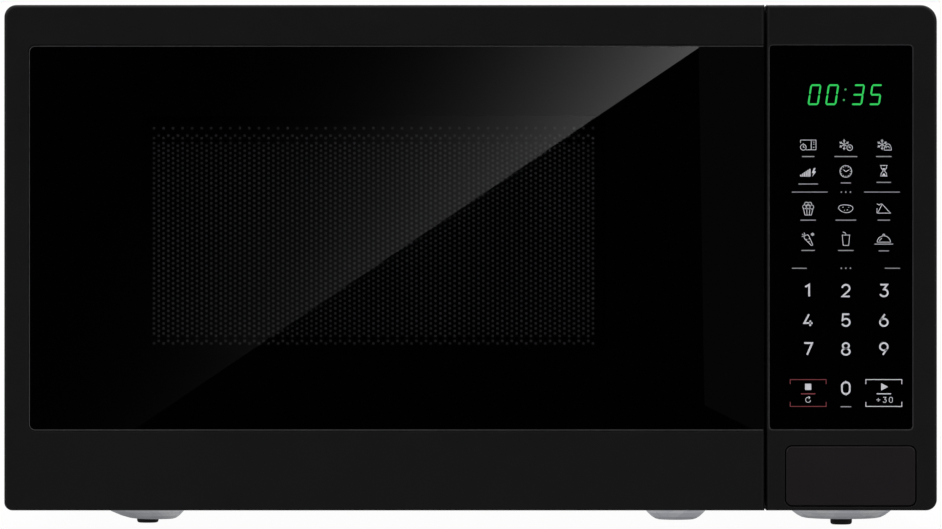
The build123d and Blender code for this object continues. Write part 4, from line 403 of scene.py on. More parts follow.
def galvanised_steel(name, dull, bright, metalness, patches):
    """Zinc crystals and dull patches, with painted shade on the faces that look down."""
    finish, tree, shader = blank_finish(name, Metallic=metalness)
    tone, shine = use_spangle(tree, 170.0)
    body = colour_mix(tree, tone, dull, bright)
    body = colour_mix(tree, use_clouds(tree, patches, 1.8, 0.3), body, dull)
    normal = new_node(tree, "ShaderNodeNewGeometry").outputs["True Normal"]
    upward = new_node(tree, "ShaderNodeSeparateXYZ", {0: normal}).outputs[2]
    # painted shade: faces that look down are darkened towards a dull grey
    painted_underside_shade = math_node(tree, "SUBTRACT", math_node(tree, "MULTIPLY", upward, -2.5), 1.4, clamp=True)
    wire(tree, colour_mix(tree, painted_underside_shade, body, shaded(dull, 0.45)), shader.inputs["Base Color"])
    wire(tree, math_node(tree, "MULTIPLY_ADD", shine, 0.2, 0.34), shader.inputs["Roughness"])
    give_grain(tree, shader, 300.0, 0.00003)
    return finish


def rear_zinc():
    return galvanised_steel("galvanised_steel", (0.46, 0.48, 0.51), (0.76, 0.78, 0.81), 0.7, 14.0)


# A lighter copy of the zinc for the base plate: painted light that offsets the shade under the oven.
def base_zinc_painted_bright():
    return galvanised_steel("base_zinc_painted_bright", (0.72, 0.74, 0.81), (1.0, 1.0, 1.0), 0.95, 80.0)


def cavity_enamel():
    finish, tree, shader = blank_finish(
        "cavity_enamel", Specular_IOR_Level=0.5, Coat_Weight=0.2, Coat_Roughness=0.12
    )
    body = colour_mix(tree, use_clouds(tree, 12.0, 1.0, 0.5), (0.33, 0.335, 0.34), (0.4, 0.405, 0.41))
    body = colour_mix(tree, use_speckles(tree, 520.0, 0.4), body, (0.13, 0.13, 0.135))
    body = colour_mix(tree, use_speckles(tree, 390.0, 0.3), body, (0.58, 0.58, 0.58))
    wire(tree, body, shader.inputs["Base Color"])
    give_gloss(tree, shader, 0.3, 120.0, 0.14)
    give_grain(tree, shader, 420.0, 0.00004)
    return finish


def rubber():
    return finish_of(
        "foot_rubber", (0.018, 0.018, 0.018), 0.74, grain=900.0, depth=0.00006, tone=0.2,
        rubbed=0.3, edge=0.0005, Specular_IOR_Level=0.3,
    )


def metal(name, colour, roughness, **values):
    settings = {"tone": 0.1, "grain": 500.0, "depth": 0.00001, "rubbed": 0.3, "metal": 1.0, **values}
    return finish_of(name, colour, roughness, **settings)


def screw_steel():
    return metal("screw_steel", (0.42, 0.42, 0.43), 0.32)


def spring_steel():
    return metal("spring_steel", (0.5, 0.5, 0.52), 0.25, edge=0.0001)


def plastic(name, colour, roughness, tone=0.16):
    return finish_of(name, colour, roughness, tone=tone, grain=1500.0)


def banded(name, colour, dark, roughness, metalness, depth, per_metre):
    """Laminations or windings: bands that follow one direction."""
    finish, tree, shader = blank_finish(name, Metallic=metalness)
    mask, normal = use_bands(tree, depth, per_metre)
    wire(tree, colour_mix(tree, mask, dark, colour), shader.inputs["Base Color"])
    give_gloss(tree, shader, roughness, 160.0, 0.2)
    wire(tree, normal, shader.inputs["Normal"])
    return finish


def circuit_board():
    """Green tracks with specks of solder, seen from the side that faces the door."""
    finish, tree, shader = blank_finish("circuit_board", Coat_Weight=0.3, Coat_Roughness=0.15)
    upright = {"Vector": place_on(tree), "Rotation": (radians(90), 0, 0)}
    tracks = {
        "Vector": new_node(tree, "ShaderNodeMapping", upright).outputs["Vector"],
        "Scale": 130.0,
        "Mortar Size": 0.03,
        "Color1": (0.02, 0.11, 0.045, 1),
        "Color2": (0.025, 0.15, 0.06, 1),
        "Mortar": (0.05, 0.26, 0.1, 1),
    }
    green = new_node(tree, "ShaderNodeTexBrick", tracks, offset=0.35, squash=0.7).outputs["Color"]
    body = colour_mix(tree, use_speckles(tree, 380.0, 0.5), green, (0.5, 0.5, 0.5))
    wire(tree, body, shader.inputs["Base Color"])
    give_gloss(tree, shader, 0.4, 200.0, 0.2)
    return finish


def door_glass_finish():
    tint = bpy.context.scene.oven_front.glass_tint
    finish, tree, shader = blank_finish(
        "door_glass", Base_Color=(tint, tint, tint * 1.02), IOR=1.5, Transmission_Weight=1.0
    )
    give_gloss(tree, shader, 0.005, 18.0, 0.02)
    light_passes(tree, shader, tint**0.5)
    return finish


def tray_glass_finish():
    finish, tree, shader = blank_finish(
        "tray_glass", Base_Color=(0.9, 0.955, 0.935), IOR=1.47, Transmission_Weight=1.0
    )
    give_gloss(tree, shader, 0.05, 60.0, 0.08)
    give_grain(tree, shader, 160.0, 0.00006)
    light_passes(tree, shader, 0.93)
    return finish


def clear_film(name, colour, alpha, roughness):
    finish, tree, shader = blank_finish(name, Alpha=alpha, Specular_IOR_Level=0.4)
    give_colour(tree, shader, shaded(colour, 0.88), colour, 40.0, 1.4)
    give_gloss(tree, shader, roughness, 90.0, 0.12)
    return finish


def gloss_black(name, shine, roughness):
    """Black glass or clear plastic with a black back."""
    finish, tree, shader = blank_finish(name, Specular_IOR_Level=shine)
    give_colour(tree, shader, (0.0002, 0.0002, 0.0003), (0.0003, 0.0003, 0.0005), 30.0, 1.0)
    give_gloss(tree, shader, roughness, 80.0, 0.01)
    return finish


def ink(name, colour, roughness=0.55, glow=None):
    """Printed ink, or a lit segment where a glow is given."""
    light = {} if glow is None else {"Emission_Color": glow, "Emission_Strength": 1.0}
    finish, tree, shader = blank_finish(name, Specular_IOR_Level=0.3, **light)
    give_colour(tree, shader, shaded(colour, 0.86), colour, 700.0, 1.2)
    give_gloss(tree, shader, roughness, 300.0, 0.12)
    return finish


def painted_highlight_rim(name, colour, roughness):
    """A finish for the lighter rim of a glossy piece: a painted highlight."""
    return finish_of(name, colour, roughness, grain=600.0, rubbed=0.0, edge=0.0001)


def screen_enamel():
    return finish_of(
        "screen_enamel", (0.0009, 0.0009, 0.001), 0.5, grain=900.0, tone=0.15, rubbed=0.0, edge=0.0001,
        Specular_IOR_Level=0.02,
    )


def slot_finishes():
    """One finish for each material slot of the record."""
    return {
        "satin_black_plastic": front_plastic(),
        "cabinet_paint": cabinet_paint(),
        "galvanised_steel": rear_zinc(),
        "cavity_enamel": cavity_enamel(),
        "foot_rubber": rubber(),
        "gland_rubber": rubber(),
        "screw_steel": screw_steel(),
        "bright_steel": metal("bright_steel", (0.62, 0.62, 0.63), 0.3, tone=0.12, grain=260.0),
        "hinge_steel": metal("hinge_steel", (0.5, 0.5, 0.49), 0.36, tone=0.14),
        "motor_steel": metal("motor_steel", (0.58, 0.57, 0.54), 0.34),
        "spring_steel": spring_steel(),
        "mica": finish_of(
            "mica", (0.36, 0.31, 0.25), 0.5, tone=0.3, tone_scale=60.0, grain=500.0, depth=0.00005
        ),
        "lamp_glass": clear_film("lamp_glass", (0.85, 0.82, 0.74), 0.55, 0.1),
        "white_plastic": plastic("white_plastic", (0.66, 0.65, 0.61), 0.42, 0.05),
        "switch_plastic": plastic("switch_plastic", (0.03, 0.03, 0.033), 0.4),
        "red_plastic": plastic("red_plastic", (0.45, 0.03, 0.025), 0.38),
        "copper": banded(
            "copper", (0.66, 0.3, 0.14), (0.22, 0.08, 0.035), 0.3, 0.9, 0.0003, (0.0, 0.0, 900.0)
        ),
        "fin_aluminium": metal("fin_aluminium", (0.74, 0.74, 0.75), 0.3),
        "can_aluminium": metal("can_aluminium", (0.66, 0.66, 0.67), 0.28, grain=240.0),
        "core_steel": banded(
            "core_steel", (0.17, 0.17, 0.18), (0.05, 0.05, 0.055), 0.5, 0.7, 0.0002, (0.0, 900.0, 0.0)
        ),
        "grey_plastic": plastic("grey_plastic", (0.34, 0.34, 0.34), 0.48, 0.08),
        "lens_plastic": gloss_black("lens_plastic", 0.5, 0.02),
        "circuit_board": circuit_board(),
        "display_black": plastic("display_black", (0.01, 0.013, 0.01), 0.3),
        "relay_blue": plastic("relay_blue", (0.03, 0.09, 0.36), 0.36, 0.06),
        "door_glass": door_glass_finish(),
        "screen_enamel": screen_enamel(),
        "inner_film": clear_film("inner_film", (0.5, 0.52, 0.5), 0.16, 0.12),
        "choke_plastic": plastic("choke_plastic", (0.02, 0.02, 0.021), 0.48, 0.1),
        "hook_plastic": plastic("hook_plastic", (0.6, 0.6, 0.57), 0.36, 0.05),
        "clear_plastic": plastic("clear_plastic", (0.6, 0.6, 0.57), 0.3, 0.05),
        "tray_glass": tray_glass_finish(),
        "ring_plastic": plastic("ring_plastic", (0.56, 0.56, 0.53), 0.44, 0.08),
    }


# ---------------------------------------------------------------- mesh helpers
SHARPEST_MITRE = 0.45  # a sharper corner of a ribbon isn't lengthened further


def new_object(name, data):
    made = bpy.data.objects.new(name, data)
    bpy.context.scene.collection.objects.link(made)
    return made


def built_mesh(name, build):
    """The mesh that build(bm) fills, with its faces turned outwards."""
    bm = bmesh.new()
    build(bm)
    bmesh.ops.recalc_face_normals(bm, faces=bm.faces)
    mesh = bpy.data.meshes.new(name)
    bm.to_mesh(mesh)
    bm.free()
    return mesh


def settled(name, mesh, material, body):
    """A piece of the oven: a mesh with its finish, set to ride with a body."""
    mesh.materials.clear()
    mesh.materials.append(material)
    piece = new_object(name, mesh)
    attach(piece, body)
    return piece


def piece_from(name, build, material, body):
    return settled(name, built_mesh(name, build), material, body)


def bridge(bm, one, two):
    """Faces between two closed rows of as many points."""
    for index in range(len(one)):
        after = (index + 1) % len(one)
        bm.faces.new((one[index], one[after], two[after], two[index]))


def row_of(bm, outline, y):
    """The points of a flat outline that faces the door side, at a depth."""
    return [bm.verts.new((x, y, z)) for x, z in outline]


def in_place(spots, scale, origin):
    """Flat points made larger or smaller, and moved."""
    return [(origin[0] + x * scale, origin[1] + z * scale) for x, z in spots]


def plate(bm, outline, front, thick, scale=MM, origin=(0.0, 0.0)):
    """A flat shape that faces the door side, with its sides and back."""
    spots = in_place(outline, scale, origin)
    fore, aft = row_of(bm, spots, front), row_of(bm, spots, front + thick)
    bm.faces.new(fore)
    bm.faces.new(aft[::-1])
    bridge(bm, aft, fore)


def ribbon(bm, path, width, front, thick, closed=False, scale=MM, origin=(0.0, 0.0)):
    """A flat mitred line that faces the door side."""
    spots = [Vector(spot) for spot in in_place(path, scale, origin)]
    count = len(spots)
    rows = []
    for index, spot in enumerate(spots):
        ways = []
        if index or closed:
            ways.append((spot - spots[index - 1]).normalized())
        if index < count - 1 or closed:
            ways.append((spots[(index + 1) % count] - spot).normalized())
        along = sum(ways, Vector((0.0, 0.0)))
        along = along.normalized() if along.length > 1e-6 else ways[0]
        side = Vector((-along.y, along.x))
        stretch = 1.0 / max(SHARPEST_MITRE, abs(side.dot(Vector((-ways[0].y, ways[0].x)))))
        reach = side * (width / 2 * stretch)
        edges = (spot + reach, spot - reach)
        rows.append(row_of(bm, edges, front) + row_of(bm, edges[::-1], front + thick))
    for one, two in zip(rows, rows[1:] + rows[:1] if closed else rows[1:]):
        bridge(bm, one, two)
    if not closed:
        bm.faces.new(rows[0][::-1])
        bm.faces.new(rows[-1])


def arc(x, z, radius, start, end, steps=12, tall=None):
    """Points along part of a circle, or of an ellipse where it is given its own height."""
    tall = radius if tall is None else tall
    turns = [radians(start + (end - start) * step / steps) for step in range(steps + 1)]
    return [(x + radius * cos(turn), z + tall * sin(turn)) for turn in turns]


def ring(x, z, radius, steps=20, tall=None):
    """Points all round a circle or an ellipse, the first one not repeated."""
    return arc(x, z, radius, 0, 360 * (steps - 1) / steps, steps - 1, tall)


def box_path(left, right, low, high):
    return [(left, low), (right, low), (right, high), (left, high)]


def rounded(left, right, low, high, corner, steps=6):
    """A rectangle with round corners."""
    spots = []
    for x, z, start in (
        (right - corner, high - corner, 0),
        (left + corner, high - corner, 90),
        (left + corner, low + corner, 180),
        (right - corner, low + corner, 270),
    ):
        spots += arc(x, z, corner, start, start + 90, steps)
    return spots


def inside_of(low, high, inset, corner):
    """A rounded outline that stays inside a box as the door side sees it."""
    return rounded(low.x + inset, high.x - inset, low.z + inset, high.z - inset, corner)


# ---------------------------------------------------------------- geometry nodes helpers
def node_tree(name, inputs, fill):
    """A geometry tree with named inputs: fill gives its geometry, which is made real and coated."""
    tree = bpy.data.node_groups.new(name, "GeometryNodeTree")
    tree.interface.new_socket(name="Geometry", in_out="INPUT", socket_type="NodeSocketGeometry")
    for title, kind in {**inputs, "Finish": "Material"}.items():
        tree.interface.new_socket(name=title, in_out="INPUT", socket_type="NodeSocket" + kind)
    tree.interface.new_socket(name="Geometry", in_out="OUTPUT", socket_type="NodeSocketGeometry")
    given = new_node(tree, "NodeGroupInput").outputs
    real = new_node(tree, "GeometryNodeRealizeInstances", {0: fill(tree, given)}).outputs[0]
    coat = new_node(tree, "GeometryNodeSetMaterial", {"Geometry": real, "Material": given["Finish"]})
    new_node(tree, "NodeGroupOutput", {0: coat.outputs[0]})
    return tree


def copies_of(tree, model, points, **inputs):
    """Copies of a given object on points."""
    info = new_node(tree, "GeometryNodeObjectInfo", {"Object": model, "As Instance": True})
    inputs = {"Points": points, "Instance": info.outputs["Geometry"], **inputs}
    return new_node(tree, "GeometryNodeInstanceOnPoints", inputs).outputs[0]


def grown(name, tree, values, seed_points=()):
    """The plain mesh that a geometry tree makes from its inputs."""
    start = bpy.data.meshes.new(name + "_seed")
    start.from_pydata([tuple(spot) for spot in seed_points], [], [])
    holder = new_object(name + "_seed", start)
    modifier = holder.modifiers.new("Grow", "NODES")
    modifier.node_group = tree
    for item in tree.interface.items_tree:
        if item.in_out == "INPUT" and item.name in values:
            modifier[item.identifier] = values[item.name]
    graph = bpy.context.evaluated_depsgraph_get()
    mesh = bpy.data.meshes.new_from_object(holder.evaluated_get(graph), depsgraph=graph)
    mesh.name = name
    holder.modifiers.remove(modifier)
    bpy.data.objects.remove(holder)
    return mesh


# ---------------------------------------------------------------- door screen
OUTER_ROWS = 3  # rows of cells beyond each end of a full column: one left out, one hole, one plain
SCREEN_STEEL = 0.8 * MM
PAN_SET_BACK = 0.05 * MM  # the plain sheet's face, behind the face of the holed one
PAN_FOLD = 3.0 * MM  # how far the folded rim reaches in from the screen's edge


def perforation_tree():
    """A field of staggered holes, with one hole left out before the last hole of a column.

    Every second column ends so at both ends, the columns between them at the top only.
    """

    def fill(tree, given):
        def reckon(operation, *values):
            return math_node(tree, operation, *values)

        index = new_node(tree, "GeometryNodeInputIndex").outputs[0]
        tall = reckon("ADD", given["Rows"], 2.0 * OUTER_ROWS)
        column = reckon("FLOOR", reckon("DIVIDE", index, tall))
        row = reckon("SUBTRACT", index, reckon("MULTIPLY", column, tall))
        odd = reckon("FLOORED_MODULO", column, 2.0)
        across = reckon("MULTIPLY", column, given["Pitch X"])
        rise = reckon("SUBTRACT", reckon("ADD", row, reckon("MULTIPLY", odd, 0.5)), OUTER_ROWS)
        upward = reckon("MULTIPLY", rise, given["Pitch Z"])
        spot = {
            0: reckon("ADD", across, given["Start X"]),
            1: given["Depth"],
            2: reckon("ADD", upward, given["Start Z"]),
        }
        place = new_node(tree, "ShaderNodeCombineXYZ", spot).outputs[0]
        count = reckon("MULTIPLY", given["Columns"], tall)
        points = new_node(tree, "GeometryNodePoints", {"Count": count, "Position": place}).outputs[0]

        half_rows = reckon("MULTIPLY", given["Rows"], 0.5)
        middle = reckon("SUBTRACT", reckon("ADD", half_rows, OUTER_ROWS - 0.5), reckon("MULTIPLY", odd, 2.0))
        beyond = reckon("SUBTRACT", reckon("ABSOLUTE", reckon("SUBTRACT", row, middle)), half_rows)
        in_run = reckon("LESS_THAN", beyond, 0.0)
        last = reckon("LESS_THAN", reckon("ABSOLUTE", reckon("SUBTRACT", beyond, 1.5)), 0.25)
        holed = reckon("MAXIMUM", in_run, last)
        both = new_node(tree, "GeometryNodeJoinGeometry")
        for name, choice in (("Holed cell", holed), ("Plain cell", reckon("SUBTRACT", 1.0, holed))):
            wire(tree, copies_of(tree, given[name], points, Selection=choice), both.inputs[0])
        return both.outputs[0]

    lengths = dict.fromkeys(("Pitch X", "Pitch Z", "Start X", "Start Z", "Depth"), "Float")
    cells = {"Holed cell": "Object", "Plain cell": "Object"}
    return node_tree("Perforated field", {"Columns": "Int", "Rows": "Int", **lengths, **cells}, fill)


def hole_cell(width, height, hole):
    """A small piece of the screen with one round hole in its middle."""

    def build(bm):
        x, z = width / 2, height / 2
        outer = [(x, 0), (x, z), (0, z), (-x, z), (-x, 0), (-x, -z), (0, -z), (x, -z)]
        inner = ring(0, 0, hole / 2, len(outer))
        front = [row_of(bm, outline, 0.0) for outline in (outer, inner)]
        back = [row_of(bm, outline, SCREEN_STEEL) for outline in (outer, inner)]
        bridge(bm, front[0], front[1])
        bridge(bm, front[1], back[1])
        bridge(bm, back[1], back[0])

    return build


def plain_cell(width, height):
    """A small plain piece of the screen."""
    outline = box_path(-width / 2, width / 2, -height / 2, height / 2)
    return lambda bm: plate(bm, outline, 0.0, SCREEN_STEEL, scale=1.0)


def screen_pan(bm, field):
    """The plain sheet round the holes, with its folded rim."""
    left, right, low, high = field
    front = SCREEN_LOW.y + PAN_SET_BACK
    deep, back = SCREEN_HIGH.y - front, SCREEN_STEEL - PAN_SET_BACK
    floor, top = SCREEN_LOW.z + PAN_FOLD, SCREEN_HIGH.z - PAN_FOLD
    for strip in (
        (SCREEN_LOW.x + PAN_FOLD, left, floor, top),
        (right, SCREEN_HIGH.x - PAN_FOLD, floor, top),
        (left, right, high, top),
        (left, right, floor, low),
    ):
        plate(bm, box_path(*strip), front, back, scale=1.0)
    profile = [(PAN_FOLD, 0.0), (1.1 * MM, 0.0), (0.3 * MM, 0.3 * MM), (0.0, 1.1 * MM), (0.0, deep)]
    profile += [(SCREEN_STEEL, deep), (SCREEN_STEEL, 1.3 * MM), (1.3 * MM, back), (PAN_FOLD, back)]
    loops = []
    for inset, y in profile:
        corner = max(PAN_FOLD - inset, 0.05 * MM)
        loops.append(row_of(bm, inside_of(SCREEN_LOW, SCREEN_HIGH, inset, corner), front + y))
    for one, two in zip(loops, loops[1:] + loops[:1]):
        bridge(bm, one, two)


class OVEN_OT_door_screen(Operator):
    """Makes the perforated steel screen of the door, its rim and the film behind its holes"""

    bl_idname = "oven.door_screen"
    bl_label = "Door screen"

    def execute(self, context):
        size = context.scene.oven_screen
        pitch_x, pitch_z = size.pitch_x, size.pitch_z
        middle_x = (WINDOW_LOW.x + WINDOW_HIGH.x) / 2 + size.shift_x
        middle_z = (WINDOW_LOW.z + WINDOW_HIGH.z) / 2 + size.shift_z
        left = middle_x - (size.columns - 1) * pitch_x / 2
        low = middle_z - (size.rows - 1) * pitch_z / 2
        high = middle_z + (size.rows - 1) * pitch_z / 2
        finish = screen_enamel()
        tree = perforation_tree()
        holed = new_object("holed_cell", built_mesh("holed_cell", hole_cell(pitch_x, pitch_z, size.hole)))
        plain = new_object("plain_cell", built_mesh("plain_cell", plain_cell(pitch_x, pitch_z)))
        half = 2 * (size.columns // 4)
        for side, first, count in (("left", 0, half), ("right", half, size.columns - half)):
            values = {
                "Columns": count,
                "Rows": size.rows,
                "Pitch X": pitch_x,
                "Pitch Z": pitch_z,
                "Start X": left + first * pitch_x,
                "Start Z": low,
                "Depth": SCREEN_LOW.y,
                "Holed cell": holed,
                "Plain cell": plain,
                "Finish": finish,
            }
            name = "screen_holes_" + side
            settled(name, grown(name, tree, values), finish, "door")
        for short_lived in (holed, plain):
            bpy.data.objects.remove(short_lived)
        reach = (OUTER_ROWS - 0.5) * pitch_z
        field = (left - pitch_x / 2, left + (size.columns - 0.5) * pitch_x, low - reach, high + reach)
        rim = piece_from("screen_pan", lambda bm: screen_pan(bm, field), finish, "door")
        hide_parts("door_screen")
        side, end = 3 * MM, 1 * MM  # how far the film reaches beyond the holes
        outline = rounded(field[0] - side, field[1] + side, field[2] - end, field[3] + end, 3 * MM)
        behind = SCREEN_LOW.y + SCREEN_STEEL + PAN_SET_BACK
        film = clear_film("screen_film", (0.3, 0.3, 0.31), size.haze, 0.5)
        piece_from(
            "screen_film",
            lambda bm: plate(bm, outline, behind, 0.1 * MM, scale=1.0),
            film,
            "door",
        )
        return {"FINISHED"}


# ---------------------------------------------------------------- door glass border and seal
BORDER_LIP = 8 * MM  # how far the glossy border reaches in over the window
BORDER_STANDS_OUT = 0.03 * MM
HIGHLIGHT_BEAD_CORNER = 2.9 * MM


class OVEN_OT_door_glass(Operator):
    """Makes the glossy black border of the door glass and a lighter bead round its edge, a painted highlight
    """

    bl_idname = "oven.door_glass"
    bl_label = "Door glass border and seal"

    def execute(self, context):
        settings = context.scene.oven_front

        def border(bm):
            outer = inside_of(GLASS_LOW, GLASS_HIGH, settings.print_inset, 2.6 * MM)
            inner = inside_of(WINDOW_LOW, WINDOW_HIGH, BORDER_LIP, 5 * MM)
            depths = (GLASS_LOW.y - BORDER_STANDS_OUT, GLASS_LOW.y)
            fore, aft = ([row_of(bm, outline, y) for outline in (outer, inner)] for y in depths)
            bridge(bm, fore[0], fore[1])
            bridge(bm, fore[1], aft[1])
            bridge(bm, aft[1], aft[0])
            bridge(bm, aft[0], fore[0])

        # painted highlight: a lighter ribbon round the glass edge stands in for the edge catching light
        def painted_highlight_bead(bm):
            left, right = GLASS_LOW.x - 0.1 * MM, GLASS_HIGH.x - 0.4 * MM
            low, high = GLASS_LOW.z - 0.1 * MM, GLASS_HIGH.z + 0.1 * MM
            path = [(right, low)] + arc(left + HIGHLIGHT_BEAD_CORNER, low + HIGHLIGHT_BEAD_CORNER, HIGHLIGHT_BEAD_CORNER, 270, 180, 8)
            path += arc(left + HIGHLIGHT_BEAD_CORNER, high - HIGHLIGHT_BEAD_CORNER, HIGHLIGHT_BEAD_CORNER, 180, 90, 8) + [(right, high)]
            ribbon(bm, path, settings.highlight_bead_width, GLASS_LOW.y - 0.12 * MM, 0.9 * MM, scale=1.0)

        black = gloss_black("glass_border", 0.44, 0.004)
        piece_from("glass_border", border, black, "door")
        bright = painted_highlight_rim("painted_highlight_gloss", (0.026, 0.026, 0.027), 0.28)
        piece_from("glass_seal", painted_highlight_bead, bright, "door")
        return {"FINISHED"}


# ---------------------------------------------------------------- clock digits
SEGMENTS = {"0": "abcdef", "3": "abcdg", "5": "acdfg"}
CLOCK = (("0", 0.0), ("0", 8.55), ("3", 21.1), ("5", 29.65))  # digits and their places across, mm
CLOCK_FROM_LEFT, CLOCK_FROM_TOP = 18.55, 29.2  # the first digit's lower left corner on the lens, mm
DIGIT_WIDTH, DIGIT_HEIGHT, DIGIT_THICK, DIGIT_GAP = 5.4, 10.1, 0.86, 0.3  # mm
DIGIT_LEAN = 0.15
COLON_ACROSS, COLON_HEIGHTS, COLON_DOT = 17.3, (2.5, 7.6), 0.5  # mm
PRINT_OUT, PRINT_THICK = 0.03 * MM, 0.05 * MM  # prints stand out of the lens and reach a little into it


def segment_shape(letter):
    """One bar of a seven-bar digit, with pointed ends."""
    half = DIGIT_THICK / 2
    rows = {"a": DIGIT_HEIGHT - half, "g": DIGIT_HEIGHT / 2, "d": half}
    if letter in rows:
        z = rows[letter]
        left, right = half + DIGIT_GAP, DIGIT_WIDTH - half - DIGIT_GAP
        point = half * 0.7
        return [
            (left - point, z), (left, z - half), (right, z - half),
            (right + point, z), (right, z + half), (left, z + half),
        ]
    x = half if letter in "ef" else DIGIT_WIDTH - half
    low, high = half + DIGIT_GAP, DIGIT_HEIGHT / 2 - DIGIT_GAP
    if letter in "bf":
        low, high = DIGIT_HEIGHT / 2 + DIGIT_GAP, DIGIT_HEIGHT - half - DIGIT_GAP
    point = half * 0.5
    return [
        (x, low - point), (x + half, low + point), (x + half, high - point),
        (x, high + point), (x - half, high - point), (x - half, low + point),
    ]


class OVEN_OT_clock(Operator):
    """Makes the lit clock digits of the panel"""

    bl_idname = "oven.clock"
    bl_label = "Clock digits"

    def execute(self, context):
        glow = tuple(context.scene.oven_panel.glow)
        lit = ink("clock_light", (0.01, 0.05, 0.02), 0.4, glow)
        dim = ink("clock_dots_light", (0.01, 0.04, 0.03), 0.4, tuple(part * 0.45 + 0.03 for part in glow))
        left = LENS_LOW.x / MM + CLOCK_FROM_LEFT
        low = LENS_HIGH.z / MM - CLOCK_FROM_TOP
        front = LENS_LOW.y - PRINT_OUT

        def digits(bm):
            for digit, across in CLOCK:
                for letter in SEGMENTS[digit]:
                    bar = segment_shape(letter)
                    leaning = [(left + across + x + z * DIGIT_LEAN, low + z) for x, z in bar]
                    plate(bm, leaning, front, PRINT_THICK)

        def dots(bm):
            for z in COLON_HEIGHTS:
                dot = ring(left + COLON_ACROSS + z * DIGIT_LEAN, low + z, COLON_DOT, 12)
                plate(bm, dot, front, PRINT_THICK)

        piece_from("clock_digits", digits, lit, "cabinet")
        piece_from("clock_dots", dots, dim, "cabinet")
        return {"FINISHED"}


# ---------------------------------------------------------------- key pictograms
# Each gives its lines, closed lines and filled shapes, in mm round its own middle.
def clock_marks(x, z, radius):
    hands = [[(x, z + radius * 0.62), (x, z), (x + radius * 0.5, z - radius * 0.1)]]
    return hands, [ring(x, z, radius)], []


def toward(turn, reach, x=0.0, z=0.0):
    """The point that lies this far from x, z in a direction."""
    return (x + reach * cos(radians(turn)), z + reach * sin(radians(turn)))


def snow(x, z, radius):
    """A snow crystal: three lines across it, then the branches of its six arms."""
    lines = [[toward(turn + 180, radius, x, z), toward(turn, radius, x, z)] for turn in (90, 150, 210)]
    for turn in range(90, 450, 60):
        knot = toward(turn, radius * 0.55, x, z)
        lines += [[knot, toward(turn + bend, radius * 0.32, *knot)] for bend in (-45, 45)]
    return lines


def timed_cooking():
    lines = [
        [(-1.2, -2.5), (4.1, -2.5), (4.1, 2.6), (-4.0, 2.6), (-4.0, 1.0)],
        [(1.6, -2.5), (1.6, 2.6)],
        [(2.5, 1.5), (3.3, 1.5)],
        [(2.5, 0.4), (3.3, 0.4)],
        [(2.5, -1.2), (3.3, -1.2)],
    ]
    hands, dial, _ = clock_marks(-2.6, -1.2, 1.5)
    return lines + hands + [[(-2.6, 0.3), (-2.6, 0.95)]], dial, []


def timed_thaw():
    hands, dial, _ = clock_marks(2.0, -1.4, 1.5)
    return snow(-0.9, 0.2, 2.8) + hands, dial, []


def weighed_thaw():
    weight = arc(2.1, -2.7, 1.9, 0, 180, 10, tall=3.3)
    return snow(-0.9, 0.2, 2.8) + [arc(2.1, -2.7, 1.0, 30, 150, 6, tall=2.0)], [weight], []


def power_level():
    bars = [box_path(-4.2 + 0.95 * k, -3.55 + 0.95 * k, -2.2, -1.2 + 0.62 * k) for k in range(6)]
    bolt = [(3.0, 2.3), (1.9, -0.3), (2.8, -0.3), (2.1, -2.4), (4.2, 0.6), (3.2, 0.6), (3.9, 2.3)]
    return [], [], bars + [bolt]


def clock_face():
    ticks = [[toward(turn, 2.3), toward(turn, 2.75)] for turn in range(0, 360, 30)]
    return ticks + [[(-1.3, 1.0), (0.0, -0.2), (1.7, 0.9)]], [ring(0, 0, 3.1, 28)], []


def hourglass():
    lines = [
        [(-2.0, 2.8), (2.0, 2.8)],
        [(-2.0, -2.8), (2.0, -2.8)],
        [(-1.5, 2.7), (-1.4, 1.4), (-0.3, 0.0), (-1.4, -1.4), (-1.5, -2.7)],
        [(1.5, 2.7), (1.4, 1.4), (0.3, 0.0), (1.4, -1.4), (1.5, -2.7)],
    ]
    sand = [(-1.1, -2.5), (1.1, -2.5), (0.0, -1.2)]
    top = [(-0.9, 1.3), (0.9, 1.3), (0.0, 0.3)]
    return lines, [], [sand, top]


def popped_corn():
    tub = [(-2.5, -0.1), (-1.7, -3.4), (1.7, -3.4), (2.5, -0.1)]
    lines = [tub, [(-0.8, -0.4), (-0.6, -3.2)], [(0.8, -0.4), (0.6, -3.2)]]
    puffs = [ring(-1.9, 0.9, 1.05, 12), ring(0.0, 1.0, 1.15, 12), ring(1.9, 0.8, 1.05, 12)]
    puffs += [ring(-0.9, 2.4, 1.0, 12), ring(0.9, 2.4, 0.95, 12)]
    return lines, puffs, []


def potato():
    body = []
    for step in range(24):
        turn = radians(15 * step)
        swell = 1.0 + 0.09 * cos(2 * turn + 0.6) + 0.05 * sin(3 * turn)
        body.append((3.5 * swell * cos(turn), 2.2 * swell * sin(turn)))
    eyes = [[(-1.8, 0.6), (-1.2, 0.8)], [(0.5, -0.8), (1.1, -0.6)], [(1.3, 0.8), (1.8, 0.6)]]
    return eyes + [[(-1.0, -0.8), (-0.5, -0.9)]], [body], []


def slice_of_pie():
    crust = [(-3.6, 2.5), (-2.4, 1.8), (-1.6, 2.5), (-0.9, 2.3)]
    wedge = [(-3.3, -2.4), (3.5, -2.4), (-0.9, 2.3)]
    return [crust, [(-3.6, -2.4), (-3.6, 0.2)]], [wedge], []


